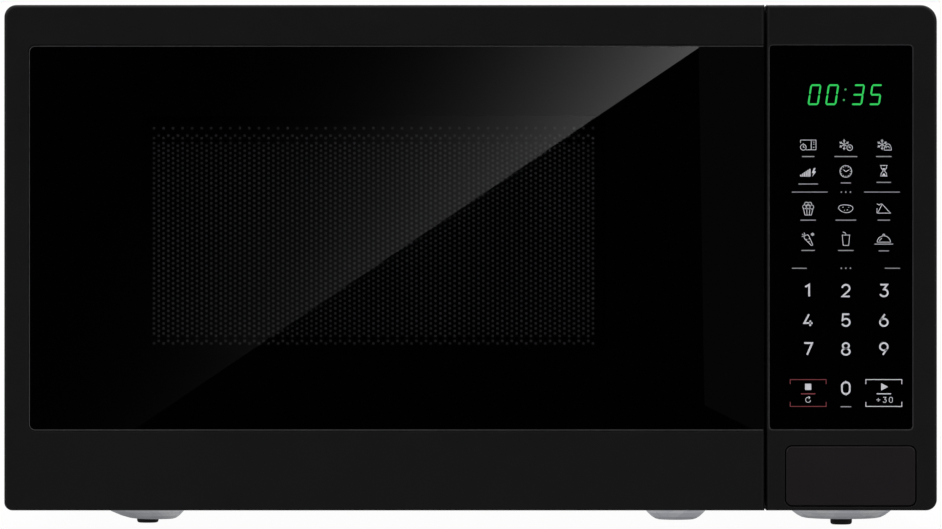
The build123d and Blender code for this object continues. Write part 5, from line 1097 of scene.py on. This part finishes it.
def carrot():
    root = [(-2.0, 1.6), (-0.2, 2.2), (0.6, 1.2), (2.4, -3.2), (1.7, -3.5), (-2.0, 0.2)]
    lines = [
        [(-1.2, -0.4), (-0.5, -0.1)],
        [(0.8, 0.2), (0.2, 0.0)],
        [(0.1, -1.7), (0.7, -1.3)],
        [(-1.9, 1.6), (-3.2, 2.6)],
        [(-1.6, 1.8), (-2.1, 3.3)],
        [(-2.0, 1.2), (-3.4, 1.3)],
    ]
    return lines + snow(2.3, 2.4, 0.95)[:3], [root], []


def cup_with_straw():
    lines = [
        [(-2.2, 2.0), (2.3, 2.0)],
        [(-1.9, 2.0), (-1.4, -3.4), (1.5, -3.4), (2.0, 2.0)],
        [(0.3, 1.9), (-0.4, 3.3), (-1.6, 3.6)],
    ]
    return lines, [], []


def covered_dish():
    dome = arc(0.0, -1.5, 3.5, 0, 180, 14, tall=3.3)
    lines = [dome, [(-3.5, -1.5), (3.5, -1.5)], [(-4.9, -2.5), (4.9, -2.5)]]
    lines.append(arc(0.0, -1.5, 2.4, 115, 165, 5, tall=2.3))
    return lines, [ring(0, 2.3, 0.5, 8)], []


def numeral(text, width=3.8, height=5.7):
    """A key numeral's open and closed centre lines, with its middle at the origin."""
    w, h = width, height
    bowl = w / 2
    shapes = {
        "0": ([], [rounded(0, w, 0, h, bowl, 8)]),
        "1": ([[(w * 0.12, h * 0.8), (w * 0.62, h), (w * 0.62, 0)]], []),
        "2": ([arc(bowl, h - bowl * 0.97, bowl * 0.94, 172, -32, 12) + [(w * 0.06, 0), (w, 0)]], []),
        "3": (
            [
                [(w * 0.06, h), (w * 0.92, h), (w * 0.5, h * 0.6)]
                + arc(bowl, h * 0.3, bowl, 82, -160, 14, tall=h * 0.3)
            ],
            [],
        ),
        "4": (
            [[(w * 0.6, h), (0, h * 0.25), (w * 1.05, h * 0.25)], [(w * 0.76, h * 0.46), (w * 0.76, 0)]],
            [],
        ),
        "5": (
            [
                [(w * 0.92, h), (w * 0.14, h), (w * 0.08, h * 0.5)]
                + arc(bowl, h * 0.31, bowl, 128, -158, 14, tall=h * 0.31)
            ],
            [],
        ),
        "6": ([[(w * 0.62, h), (w * 0.12, h * 0.5)]], [ring(bowl, h * 0.31, bowl, 22, tall=h * 0.31)]),
        "7": ([[(0, h), (w, h), (w * 0.36, 0)]], []),
        "8": (
            [],
            [
                ring(bowl, h * 0.77, bowl * 0.8, 20, tall=h * 0.23),
                ring(bowl, h * 0.27, bowl, 22, tall=h * 0.27),
            ],
        ),
        "9": ([[(w * 0.38, 0), (w * 0.88, h * 0.5)]], [ring(bowl, h * 0.69, bowl, 22, tall=h * 0.31)]),
    }
    return tuple([[(x - w / 2, z - h / 2) for x, z in shape] for shape in kind] for kind in shapes[text])


COLUMNS = (18.95, 37.2, 55.6)  # key columns from the lens's left edge, mm
PICTOGRAMS = (  # drawing, column, its middle from the lens's top, and the dash under it, mm
    (timed_cooking, 0, 48.5, 6.0),
    (timed_thaw, 1, 48.5, 11.0),
    (weighed_thaw, 2, 48.5, 7.5),
    (power_level, 0, 61.8, 9.5),
    (clock_face, 1, 61.3, 5.0),
    (hourglass, 2, 61.0, 7.0),
    (popped_corn, 0, 79.3, 7.5),
    (potato, 1, 79.3, 10.0),
    (slice_of_pie, 2, 79.3, 6.0),
    (carrot, 0, 94.0, 6.5),
    (cup_with_straw, 1, 94.0, 7.5),
    (covered_dish, 2, 94.2, 5.0),
)
PICTOGRAM_SCALE = 0.92 * MM
NUMERALS = (("123", 119.0), ("456", 133.35), ("789", 147.3))
ROW_OF_ZERO = 166.3
KEY_ROW = 168.65
KEY_SIDE, KEY_END = 8.7, 6.5  # half the width and height of a key frame, mm
KEY_GAP = 4.3  # half the height of the gap in its sides
FRAME_STROKE = 0.36 * MM
DASH_STROKE, RULE_STROKE = 0.5 * MM, 0.45 * MM
DASH_DOWN, ZERO_DASH_DOWN = -5.6, -9.0
RULES = ((71.3, 17.4), (108.2, 7.3))  # pairs of rules: how far down, and their length
RULE_END = 26.2


class OVEN_OT_keys(Operator):
    """Prints the pictograms, numerals, dividers and key frames on the panel's lens"""

    bl_idname = "oven.keys"
    bl_label = "Printed keys"

    def execute(self, context):
        settings = context.scene.oven_panel
        thin, bold = settings.stroke, settings.numeral_stroke
        pale = ink("key_ink", tuple(settings.ink))
        grey = ink("mark_ink", shaded(settings.ink, 0.42))
        red = ink("stop_ink", tuple(settings.stop_ink))

        def draw(bm, column, down, width, lines=(), loops=(), fills=(), scale=MM):
            origin = (LENS_LOW.x + COLUMNS[column] * MM, LENS_HIGH.z - down * MM)
            face = {"front": LENS_LOW.y - PRINT_OUT, "thick": PRINT_THICK, "origin": origin, "scale": scale}
            for line in lines:
                ribbon(bm, line, width, **face)
            for loop in loops:
                ribbon(bm, loop, width, closed=True, **face)
            for fill in fills:
                plate(bm, fill, **face)

        def dash(bm, column, down, width, half, z=0.0):
            draw(bm, column, down, width, [[(-half, z), (half, z)]])

        def pictograms(bm):
            for drawing, column, down, _ in PICTOGRAMS:
                draw(bm, column, down, thin, *drawing(), scale=PICTOGRAM_SCALE)

        def numerals(bm):
            for row, down in NUMERALS:
                for column, text in enumerate(row):
                    draw(bm, column, down, bold, *numeral(text))
            draw(bm, 1, ROW_OF_ZERO, bold, *numeral("0"))

        def marks(bm):
            for _, column, down, wide in PICTOGRAMS:
                dash(bm, column, down, DASH_STROKE, wide / 2, DASH_DOWN)
            dash(bm, 1, ROW_OF_ZERO, DASH_STROKE, 2.6, ZERO_DASH_DOWN)
            for down, length in RULES:
                for side in (-1, 1):
                    line = [(side * RULE_END, 0), (side * (RULE_END - length), 0)]
                    draw(bm, 1, down, RULE_STROKE, [line])
                for x in (-2.2, 0, 2.2):
                    draw(bm, 1, down, thin, fills=[ring(x, 0, 0.4, 10)])

        def key_frame(bm, column, stroke):
            for up in (-1, 1):
                corners = [(-KEY_SIDE, up * KEY_END), (KEY_SIDE, up * KEY_END)]
                line = [(-KEY_SIDE, up * KEY_GAP), *corners, (KEY_SIDE, up * KEY_GAP)]
                draw(bm, column, KEY_ROW, FRAME_STROKE, [line])
            dash(bm, column, KEY_ROW, stroke, 3.5, -0.4)

        def start_key(bm):
            key_frame(bm, 2, RULE_STROKE)
            plus = [[(-3.6, -3.3), (-1.8, -3.3)], [(-2.7, -2.4), (-2.7, -4.2)]]
            draw(bm, 2, KEY_ROW, thin, plus, fills=[[(-1.3, 1.2), (2.0, 3.0), (-1.3, 4.8)]])
            for text, shift in (("3", 0.4), ("0", 3.4)):
                moved = [
                    [[(x + shift, z - 3.3) for x, z in shape] for shape in shapes]
                    for shapes in numeral(text, 1.6, 2.5)
                ]
                draw(bm, 2, KEY_ROW, thin, *moved)

        def stop_key(bm):
            key_frame(bm, 0, DASH_STROKE)

        def stop_signs(bm):
            hook = [(0.2, -1.6), (0.9, -2.2), (0.3, -2.9)]
            lines = [arc(0, -3.3, 1.25, 60, 350, 14), hook]
            draw(bm, 0, KEY_ROW, thin, lines, fills=[box_path(-1.5, 1.5, 1.5, 4.5)])

        for name, build, colour in (
            ("key_pictograms", pictograms, pale),
            ("key_numerals", numerals, pale),
            ("key_marks", marks, grey),
            ("start_key_print", start_key, pale),
            ("stop_key_print", stop_key, red),
            ("stop_key_signs", stop_signs, pale),
        ):
            piece_from(name, build, colour, "cabinet")

        # painted highlight: a lighter ribbon round the lens stands in for its rim catching light
        def edge(bm):
            outline = inside_of(LENS_LOW, LENS_HIGH, 0.0, 2.0 * MM)
            ribbon(bm, outline, 0.34 * MM, LENS_LOW.y - 0.08 * MM, 0.2 * MM, closed=True, scale=1.0)

        gloss = painted_highlight_rim("lens_edge_gloss", (0.03, 0.03, 0.032), 0.24)
        piece_from("lens_edge", edge, gloss, "cabinet")
        return {"FINISHED"}


# ---------------------------------------------------------------- springs
SPRING_WIRE = 0.45 * MM  # the wire's radius
SPRINGS = (  # node, body, joint, turns, axis
    ("hook_spring", "door", "hook_slide", 7, "z"),
    ("button_spring", "cabinet", "button_press", 10, "y"),
)


def spring_tree():
    """A coil of round wire that stands along Z."""

    def fill(tree, given):
        coil = {
            "Resolution": 28,
            "Rotations": given["Turns"],
            "Start Radius": given["Radius"],
            "End Radius": given["Radius"],
            "Height": given["Length"],
        }
        spiral = new_node(tree, "GeometryNodeCurveSpiral", coil).outputs[0]
        circle = {"Resolution": 8, "Radius": given["Wire"]}
        section = new_node(tree, "GeometryNodeCurvePrimitiveCircle", circle).outputs[0]
        swept = {"Curve": spiral, "Profile Curve": section, "Fill Caps": True}
        return new_node(tree, "GeometryNodeCurveToMesh", swept).outputs[0]

    return node_tree("Wire spring", dict.fromkeys(("Turns", "Radius", "Length", "Wire"), "Float"), fill)


class OVEN_OT_springs(Operator):
    """Makes the door hook's and the door button's wire springs"""

    bl_idname = "oven.springs"
    bl_label = "Springs"

    def execute(self, context):
        tree = spring_tree()
        finish = spring_steel()
        for node, body, joint, turns, axis in SPRINGS:
            low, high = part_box(node)
            length = getattr(high, axis) - getattr(low, axis)
            values = {
                "Turns": turns,
                "Radius": (high.x - low.x) / 2 - SPRING_WIRE,
                "Length": length - 2 * SPRING_WIRE,
                "Wire": SPRING_WIRE,
                "Finish": finish,
            }
            mesh = grown(node + "_wire", tree, values)
            turn = Matrix.Rotation(radians(-90), 4, "X") if axis == "y" else Matrix.Identity(4)
            start = (low + high) / 2
            setattr(start, axis, getattr(low, axis) + SPRING_WIRE)
            mesh.transform(Matrix.Translation(start) @ turn)
            for face in mesh.polygons:
                face.use_smooth = True
            piece = settled(node + "_wire", mesh, finish, body)
            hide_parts(node)
            held = (low + high) / 2
            setattr(held, axis, getattr(high, axis))
            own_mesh(piece)
        return {"FINISHED"}


# ---------------------------------------------------------------- screws
SCREW_STEPS = 28
HEAD_RADIUS, SHANK_RADIUS, POINT = 3.8 * MM, 1.9 * MM, 1.2 * MM
HEADS_APART = 9 * MM  # points of one screw lie nearer together than this


def screw_build(tall, long):
    """A pan-head screw with a cross recess, its head towards +Y."""

    def build(bm):
        head, shank = HEAD_RADIUS, SHANK_RADIUS
        profile = [(shank * 0.2, -long), (shank, -long + POINT), (shank, 0.0), (head, 0.0)]
        profile += [(head, tall * 0.35), (head * 0.93, tall * 0.7)]
        profile += [(head * 0.74, tall * 0.95), (head * 0.6, tall)]
        loops = [row_of(bm, ring(0, 0, radius, SCREW_STEPS), y) for radius, y in profile]
        for one, two in zip(loops, loops[1:]):
            bridge(bm, one, two)
        bm.faces.new(loops[0])
        arm, slot = head * 0.5, head * 0.13
        cross = [
            (arm, slot), (slot, slot), (slot, arm), (-slot, arm), (-slot, slot), (-arm, slot),
            (-arm, -slot), (-slot, -slot), (-slot, -arm), (slot, -arm), (slot, -slot), (arm, -slot),
        ]
        top = row_of(bm, cross, tall)
        floor = row_of(bm, in_place(cross, 0.6, (0, 0)), tall * 0.35)
        bridge(bm, top, floor)
        bm.faces.new(floor)
        rims = [(row[k - 1], row[k]) for row in (loops[-1], top) for k in range(len(row))]
        bmesh.ops.triangle_fill(bm, edges=[bm.edges.get(rim) for rim in rims], use_beauty=True)

    return build


def screw_tree():
    """A screw on each point, each turned by its own angle."""

    def fill(tree, given):
        turn = new_node(
            tree, "FunctionNodeRandomValue", {3: 2 * pi, "Seed": given["Seed"]}, data_type="FLOAT"
        ).outputs[1]
        angles = new_node(tree, "ShaderNodeCombineXYZ", {1: turn}).outputs[0]
        return copies_of(tree, given["Screw"], given["Geometry"], Rotation=angles)

    return node_tree("Row of screws", {"Screw": "Object", "Seed": "Int"}, fill)


def screw_places():
    """The middles of the cabinet's screw heads, read from the solids of the frame."""
    heads = []
    for vertex in NODES["cabinet_screws"].data.vertices:
        if SCREWS_HIGH.y - vertex.co.y > 0.1 * MM:
            continue
        for group in heads:
            if (group[0] - vertex.co).length < HEADS_APART:
                group.append(vertex.co.copy())
                break
        else:
            heads.append([vertex.co.copy()])
    spots = []
    for group in heads:
        xs, zs = [spot.x for spot in group], [spot.z for spot in group]
        spots.append(Vector(((min(xs) + max(xs)) / 2, SCREWS_HIGH.y, (min(zs) + max(zs)) / 2)))
    return spots


class OVEN_OT_screws(Operator):
    """Makes the cross-head screws that hold the cabinet and the rear panel"""

    bl_idname = "oven.screws"
    bl_label = "Cabinet screws"

    def execute(self, context):
        tall, long = SCREWS_HIGH.y - SHELL_BACK, SHELL_BACK - SCREWS_LOW.y
        model = new_object("screw_model", built_mesh("screw_model", screw_build(tall, long)))
        spots = [spot - Vector((0, tall, 0)) for spot in screw_places()]
        if len(spots) < 3:
            raise RuntimeError("the cabinet's screws were not found")
        finish = screw_steel()
        mesh = grown("screws", screw_tree(), {"Screw": model, "Seed": 4, "Finish": finish}, spots)
        bpy.data.objects.remove(model)
        piece = settled("cross_head_screws", mesh, finish, "cabinet")
        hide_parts("cabinet_screws")
        return {"FINISHED"}


# ---------------------------------------------------------------- finishes on the frame
class OVEN_OT_finishes(Operator):
    """Gives every carried-over solid its finish"""

    bl_idname = "oven.finishes"
    bl_label = "Finishes"

    def execute(self, context):
        finishes = slot_finishes()
        own = {"door_button": button_plastic(), "base_plate": base_zinc_painted_bright()}
        for name, node in NODES.items():
            finish = own.get(name) or finishes[SLOT_OF[name]]
            if not node.material_slots:
                node.data.materials.append(finish)
            for slot in node.material_slots:
                slot.material = finish
        return {"FINISHED"}


# ---------------------------------------------------------------- stage
EYE = (0.0002, -2.775, 0.1292)  # the camera's place, m
FOCAL_LENGTH, SENSOR = 205.13, 36.0  # mm
AIM = Vector((0, 0, 0.12))  # where the lamps point
FLAG_Y, FLAG_LOW, FLAG_HIGH, FLAG_REACH = -3.7, -3.0, 3.6, 9.0  # the dark sheet behind the camera
CARD_Y = -3.2  # both cards stand here, in front of the dark sheet
CARD = ((117.6, 239.0), (-178.1, 39.0), (-230, 39.0), (-230, 239.0))  # x, z where the glass shows it, mm
CARD_CORNER = (109.6, 233.6)  # where its reflection is brightest, mm
CARD_LEAN, CARD_FADE, CARD_FALL = 0.6, 0.39, 8.0  # which way, how far and how fast it fades
FAINT_CARD = ((110.4, 240), (113.3, 61), (136.6, 49.5), (142.9, 40), (142.9, 240))
ONLY_MIRRORED = ("camera", "diffuse", "shadow", "transmission", "volume_scatter")


def stage_plane(name, corners, material, hidden=()):
    """A flat part of the stage, hidden from some kinds of ray."""
    mesh = bpy.data.meshes.new(name)
    mesh.from_pydata([tuple(corner) for corner in corners], [], [tuple(range(len(corners)))])
    mesh.materials.append(material)
    plane = new_object(name, mesh)
    for ray in hidden:
        setattr(plane, "visible_" + ray, False)


def glow_material(name, level, strength=1.0):
    """A grey light: its material, its tree and its light."""
    material, tree, shader = blank_finish(name)
    tree.nodes.remove(shader)
    colour = (level, level, level, 1.0)
    light = new_node(tree, "ShaderNodeEmission", {"Color": colour, "Strength": strength})
    set_surface(tree, light.outputs[0])
    return material, tree, light


def seen_or_mirrored(tree, path):
    """Whether a ray comes from the camera, from a mirror or through glass."""
    seen = math_node(tree, "MAXIMUM", path["Is Camera Ray"], path["Is Glossy Ray"])
    return math_node(tree, "MAXIMUM", seen, path["Is Transmission Ray"])


def floor_material():
    """White to the camera, half as bright in mirrors, matt grey to the lamps."""
    grey = {"Base_Color": (0.86, 0.86, 0.86), "Roughness": 0.9, "Specular_IOR_Level": 0.0}
    material, tree, shader = blank_finish("pale_floor", **grey)
    path = new_node(tree, "ShaderNodeLightPath").outputs
    mirrored = math_node(tree, "MULTIPLY", path["Is Glossy Ray"], 0.5)
    white = new_node(tree, "ShaderNodeEmission", {"Strength": math_node(tree, "SUBTRACT", 1.0, mirrored)})
    share = math_node(tree, "MULTIPLY", seen_or_mirrored(tree, path), 0.97)
    mixed = new_node(tree, "ShaderNodeMixShader", {0: share, 1: shader.outputs[0], 2: white.outputs[0]})
    set_surface(tree, mixed.outputs[0])
    return material


def studio_world():
    """White where it is seen or mirrored, and a dim grey light elsewhere."""
    world = bpy.data.worlds.new("studio")
    world.use_nodes = True
    tree = world.node_tree
    seen = seen_or_mirrored(tree, new_node(tree, "ShaderNodeLightPath").outputs)
    colour = colour_mix(tree, seen, (0.34, 0.34, 0.35), (1.0, 1.0, 1.0))
    wire(tree, colour, tree.nodes["Background"].inputs["Color"])
    return world


def fading_card(brightness, spread, corner):
    """The light of the reflector card, which fades away from its brightest corner."""
    material, tree, light = glow_material("reflector_card", 1.0)
    axes = new_node(tree, "ShaderNodeSeparateXYZ", {0: place_on(tree)}).outputs
    fade = CARD_FADE * spread
    fall = math_node(tree, "SUBTRACT", axes[0], math_node(tree, "MULTIPLY", axes[2], CARD_LEAN))
    share = math_node(tree, "ADD", fall, fade - (corner[0] - CARD_LEAN * corner[2]))
    share = math_node(tree, "MAXIMUM", math_node(tree, "DIVIDE", share, fade), 0.0)
    power = math_node(tree, "POWER", share, CARD_FALL)
    wire(tree, math_node(tree, "MULTIPLY", power, brightness), light.inputs["Strength"])
    return material


class OVEN_OT_stage(Operator):
    """Makes the camera, the pale floor, the soft lights and the cards that the glass mirrors"""

    bl_idname = "oven.stage"
    bl_label = "Stage"

    def execute(self, context):
        settings = context.scene.oven_stage
        scene = context.scene
        scene.view_settings.view_transform = "Standard"

        lens = bpy.data.cameras.new("camera")
        lens.lens, lens.sensor_width = FOCAL_LENGTH, SENSOR
        lens.clip_start, lens.clip_end = 0.05, 60.0
        camera = new_object("camera", lens)
        camera.location = EYE
        camera.rotation_euler = (radians(90), 0, 0)
        scene.camera = camera
        stage_plane("floor", [(x, y, 0.0) for x, y in ring(0, 0, settings.floor, 48)], floor_material())
        scene.world = studio_world()

        for name, place, size, power in (
            ("overhead_light", (0.0, -0.5, 2.3), 1.8, settings.key_power),
            ("left_light", (-2.3, -2.5, 1.7), 1.5, settings.fill_power),
            ("right_light", (2.3, -2.5, 1.7), 1.5, settings.fill_power),
            ("rear_light", (0.6, 2.6, 1.9), 1.5, settings.fill_power * 0.8),
        ):
            lamp = bpy.data.lights.new(name, "AREA")
            lamp.size, lamp.energy = size, power
            holder = new_object(name, lamp)
            holder.location = place
            holder.rotation_euler = (AIM - Vector(place)).to_track_quat("-Z", "Y").to_euler()

        dark = glow_material("dark_flag", 0.0, 0.0)[0]
        flag = box_path(-FLAG_REACH, FLAG_REACH, FLAG_LOW, FLAG_HIGH)
        never = ("camera", "diffuse", "shadow", "volume_scatter")
        stage_plane("dark_flag", [(x, FLAG_Y, z) for x, z in flag], dark, never)

        eye = camera.location
        spread = 1 + (GLASS_LOW.y - CARD_Y) / (GLASS_LOW.y - eye.y)

        def mirrored(x, z):
            """The place on the card that the glass mirrors at x, z, in mm."""
            return (eye.x + (x * MM - eye.x) * spread, CARD_Y, eye.z + (z * MM - eye.z) * spread)

        bright = fading_card(settings.card, spread, mirrored(*CARD_CORNER))
        stage_plane("reflector_card", [mirrored(*spot) for spot in CARD], bright, ONLY_MIRRORED)
        faint = glow_material("faint_card", 1.0, 0.042)[0]
        stage_plane("faint_card", [mirrored(*spot) for spot in FAINT_CARD], faint, ONLY_MIRRORED)
        return {"FINISHED"}


# ---------------------------------------------------------------- sidebar, registration, run
class OVEN_PT_sidebar(Panel):
    """Lists the oven's settings and the steps that make it"""

    bl_label = "Microwave oven"
    bl_idname = "OVEN_PT_sidebar"
    bl_space_type = "VIEW_3D"
    bl_region_type = "UI"
    bl_category = "Oven"

    def draw(self, context):
        layout = self.layout
        for title in ("oven_front", "oven_screen", "oven_panel", "oven_stage"):
            group = getattr(context.scene, title)
            box = layout.box()
            for name in group.__annotations__:
                box.prop(group, name)
        for step in STEPS:
            layout.operator(step.bl_idname)


STEPS = (
    OVEN_OT_stage,
    OVEN_OT_finishes,
    OVEN_OT_door_screen,
    OVEN_OT_door_glass,
    OVEN_OT_clock,
    OVEN_OT_keys,
    OVEN_OT_springs,
    OVEN_OT_screws,
)
SETTINGS = {
    "oven_front": FrontSettings,
    "oven_screen": ScreenSettings,
    "oven_panel": PanelSettings,
    "oven_stage": StageSettings,
}


def register():
    for name, group in SETTINGS.items():
        bpy.utils.register_class(group)
        setattr(bpy.types.Scene, name, PointerProperty(type=group))
    for step in (*STEPS, OVEN_PT_sidebar):
        bpy.utils.register_class(step)


def unregister():
    for step in (OVEN_PT_sidebar, *STEPS[::-1]):
        bpy.utils.unregister_class(step)
    for name, group in SETTINGS.items():
        delattr(bpy.types.Scene, name)
        bpy.utils.unregister_class(group)


def main():
    register()
    bpy.ops.oven.stage()
    bpy.ops.oven.finishes()
    bpy.ops.oven.door_screen()
    bpy.ops.oven.door_glass()
    bpy.ops.oven.clock()
    bpy.ops.oven.keys()
    bpy.ops.oven.springs()
    bpy.ops.oven.screws()


if __name__ == "__main__":
    main()
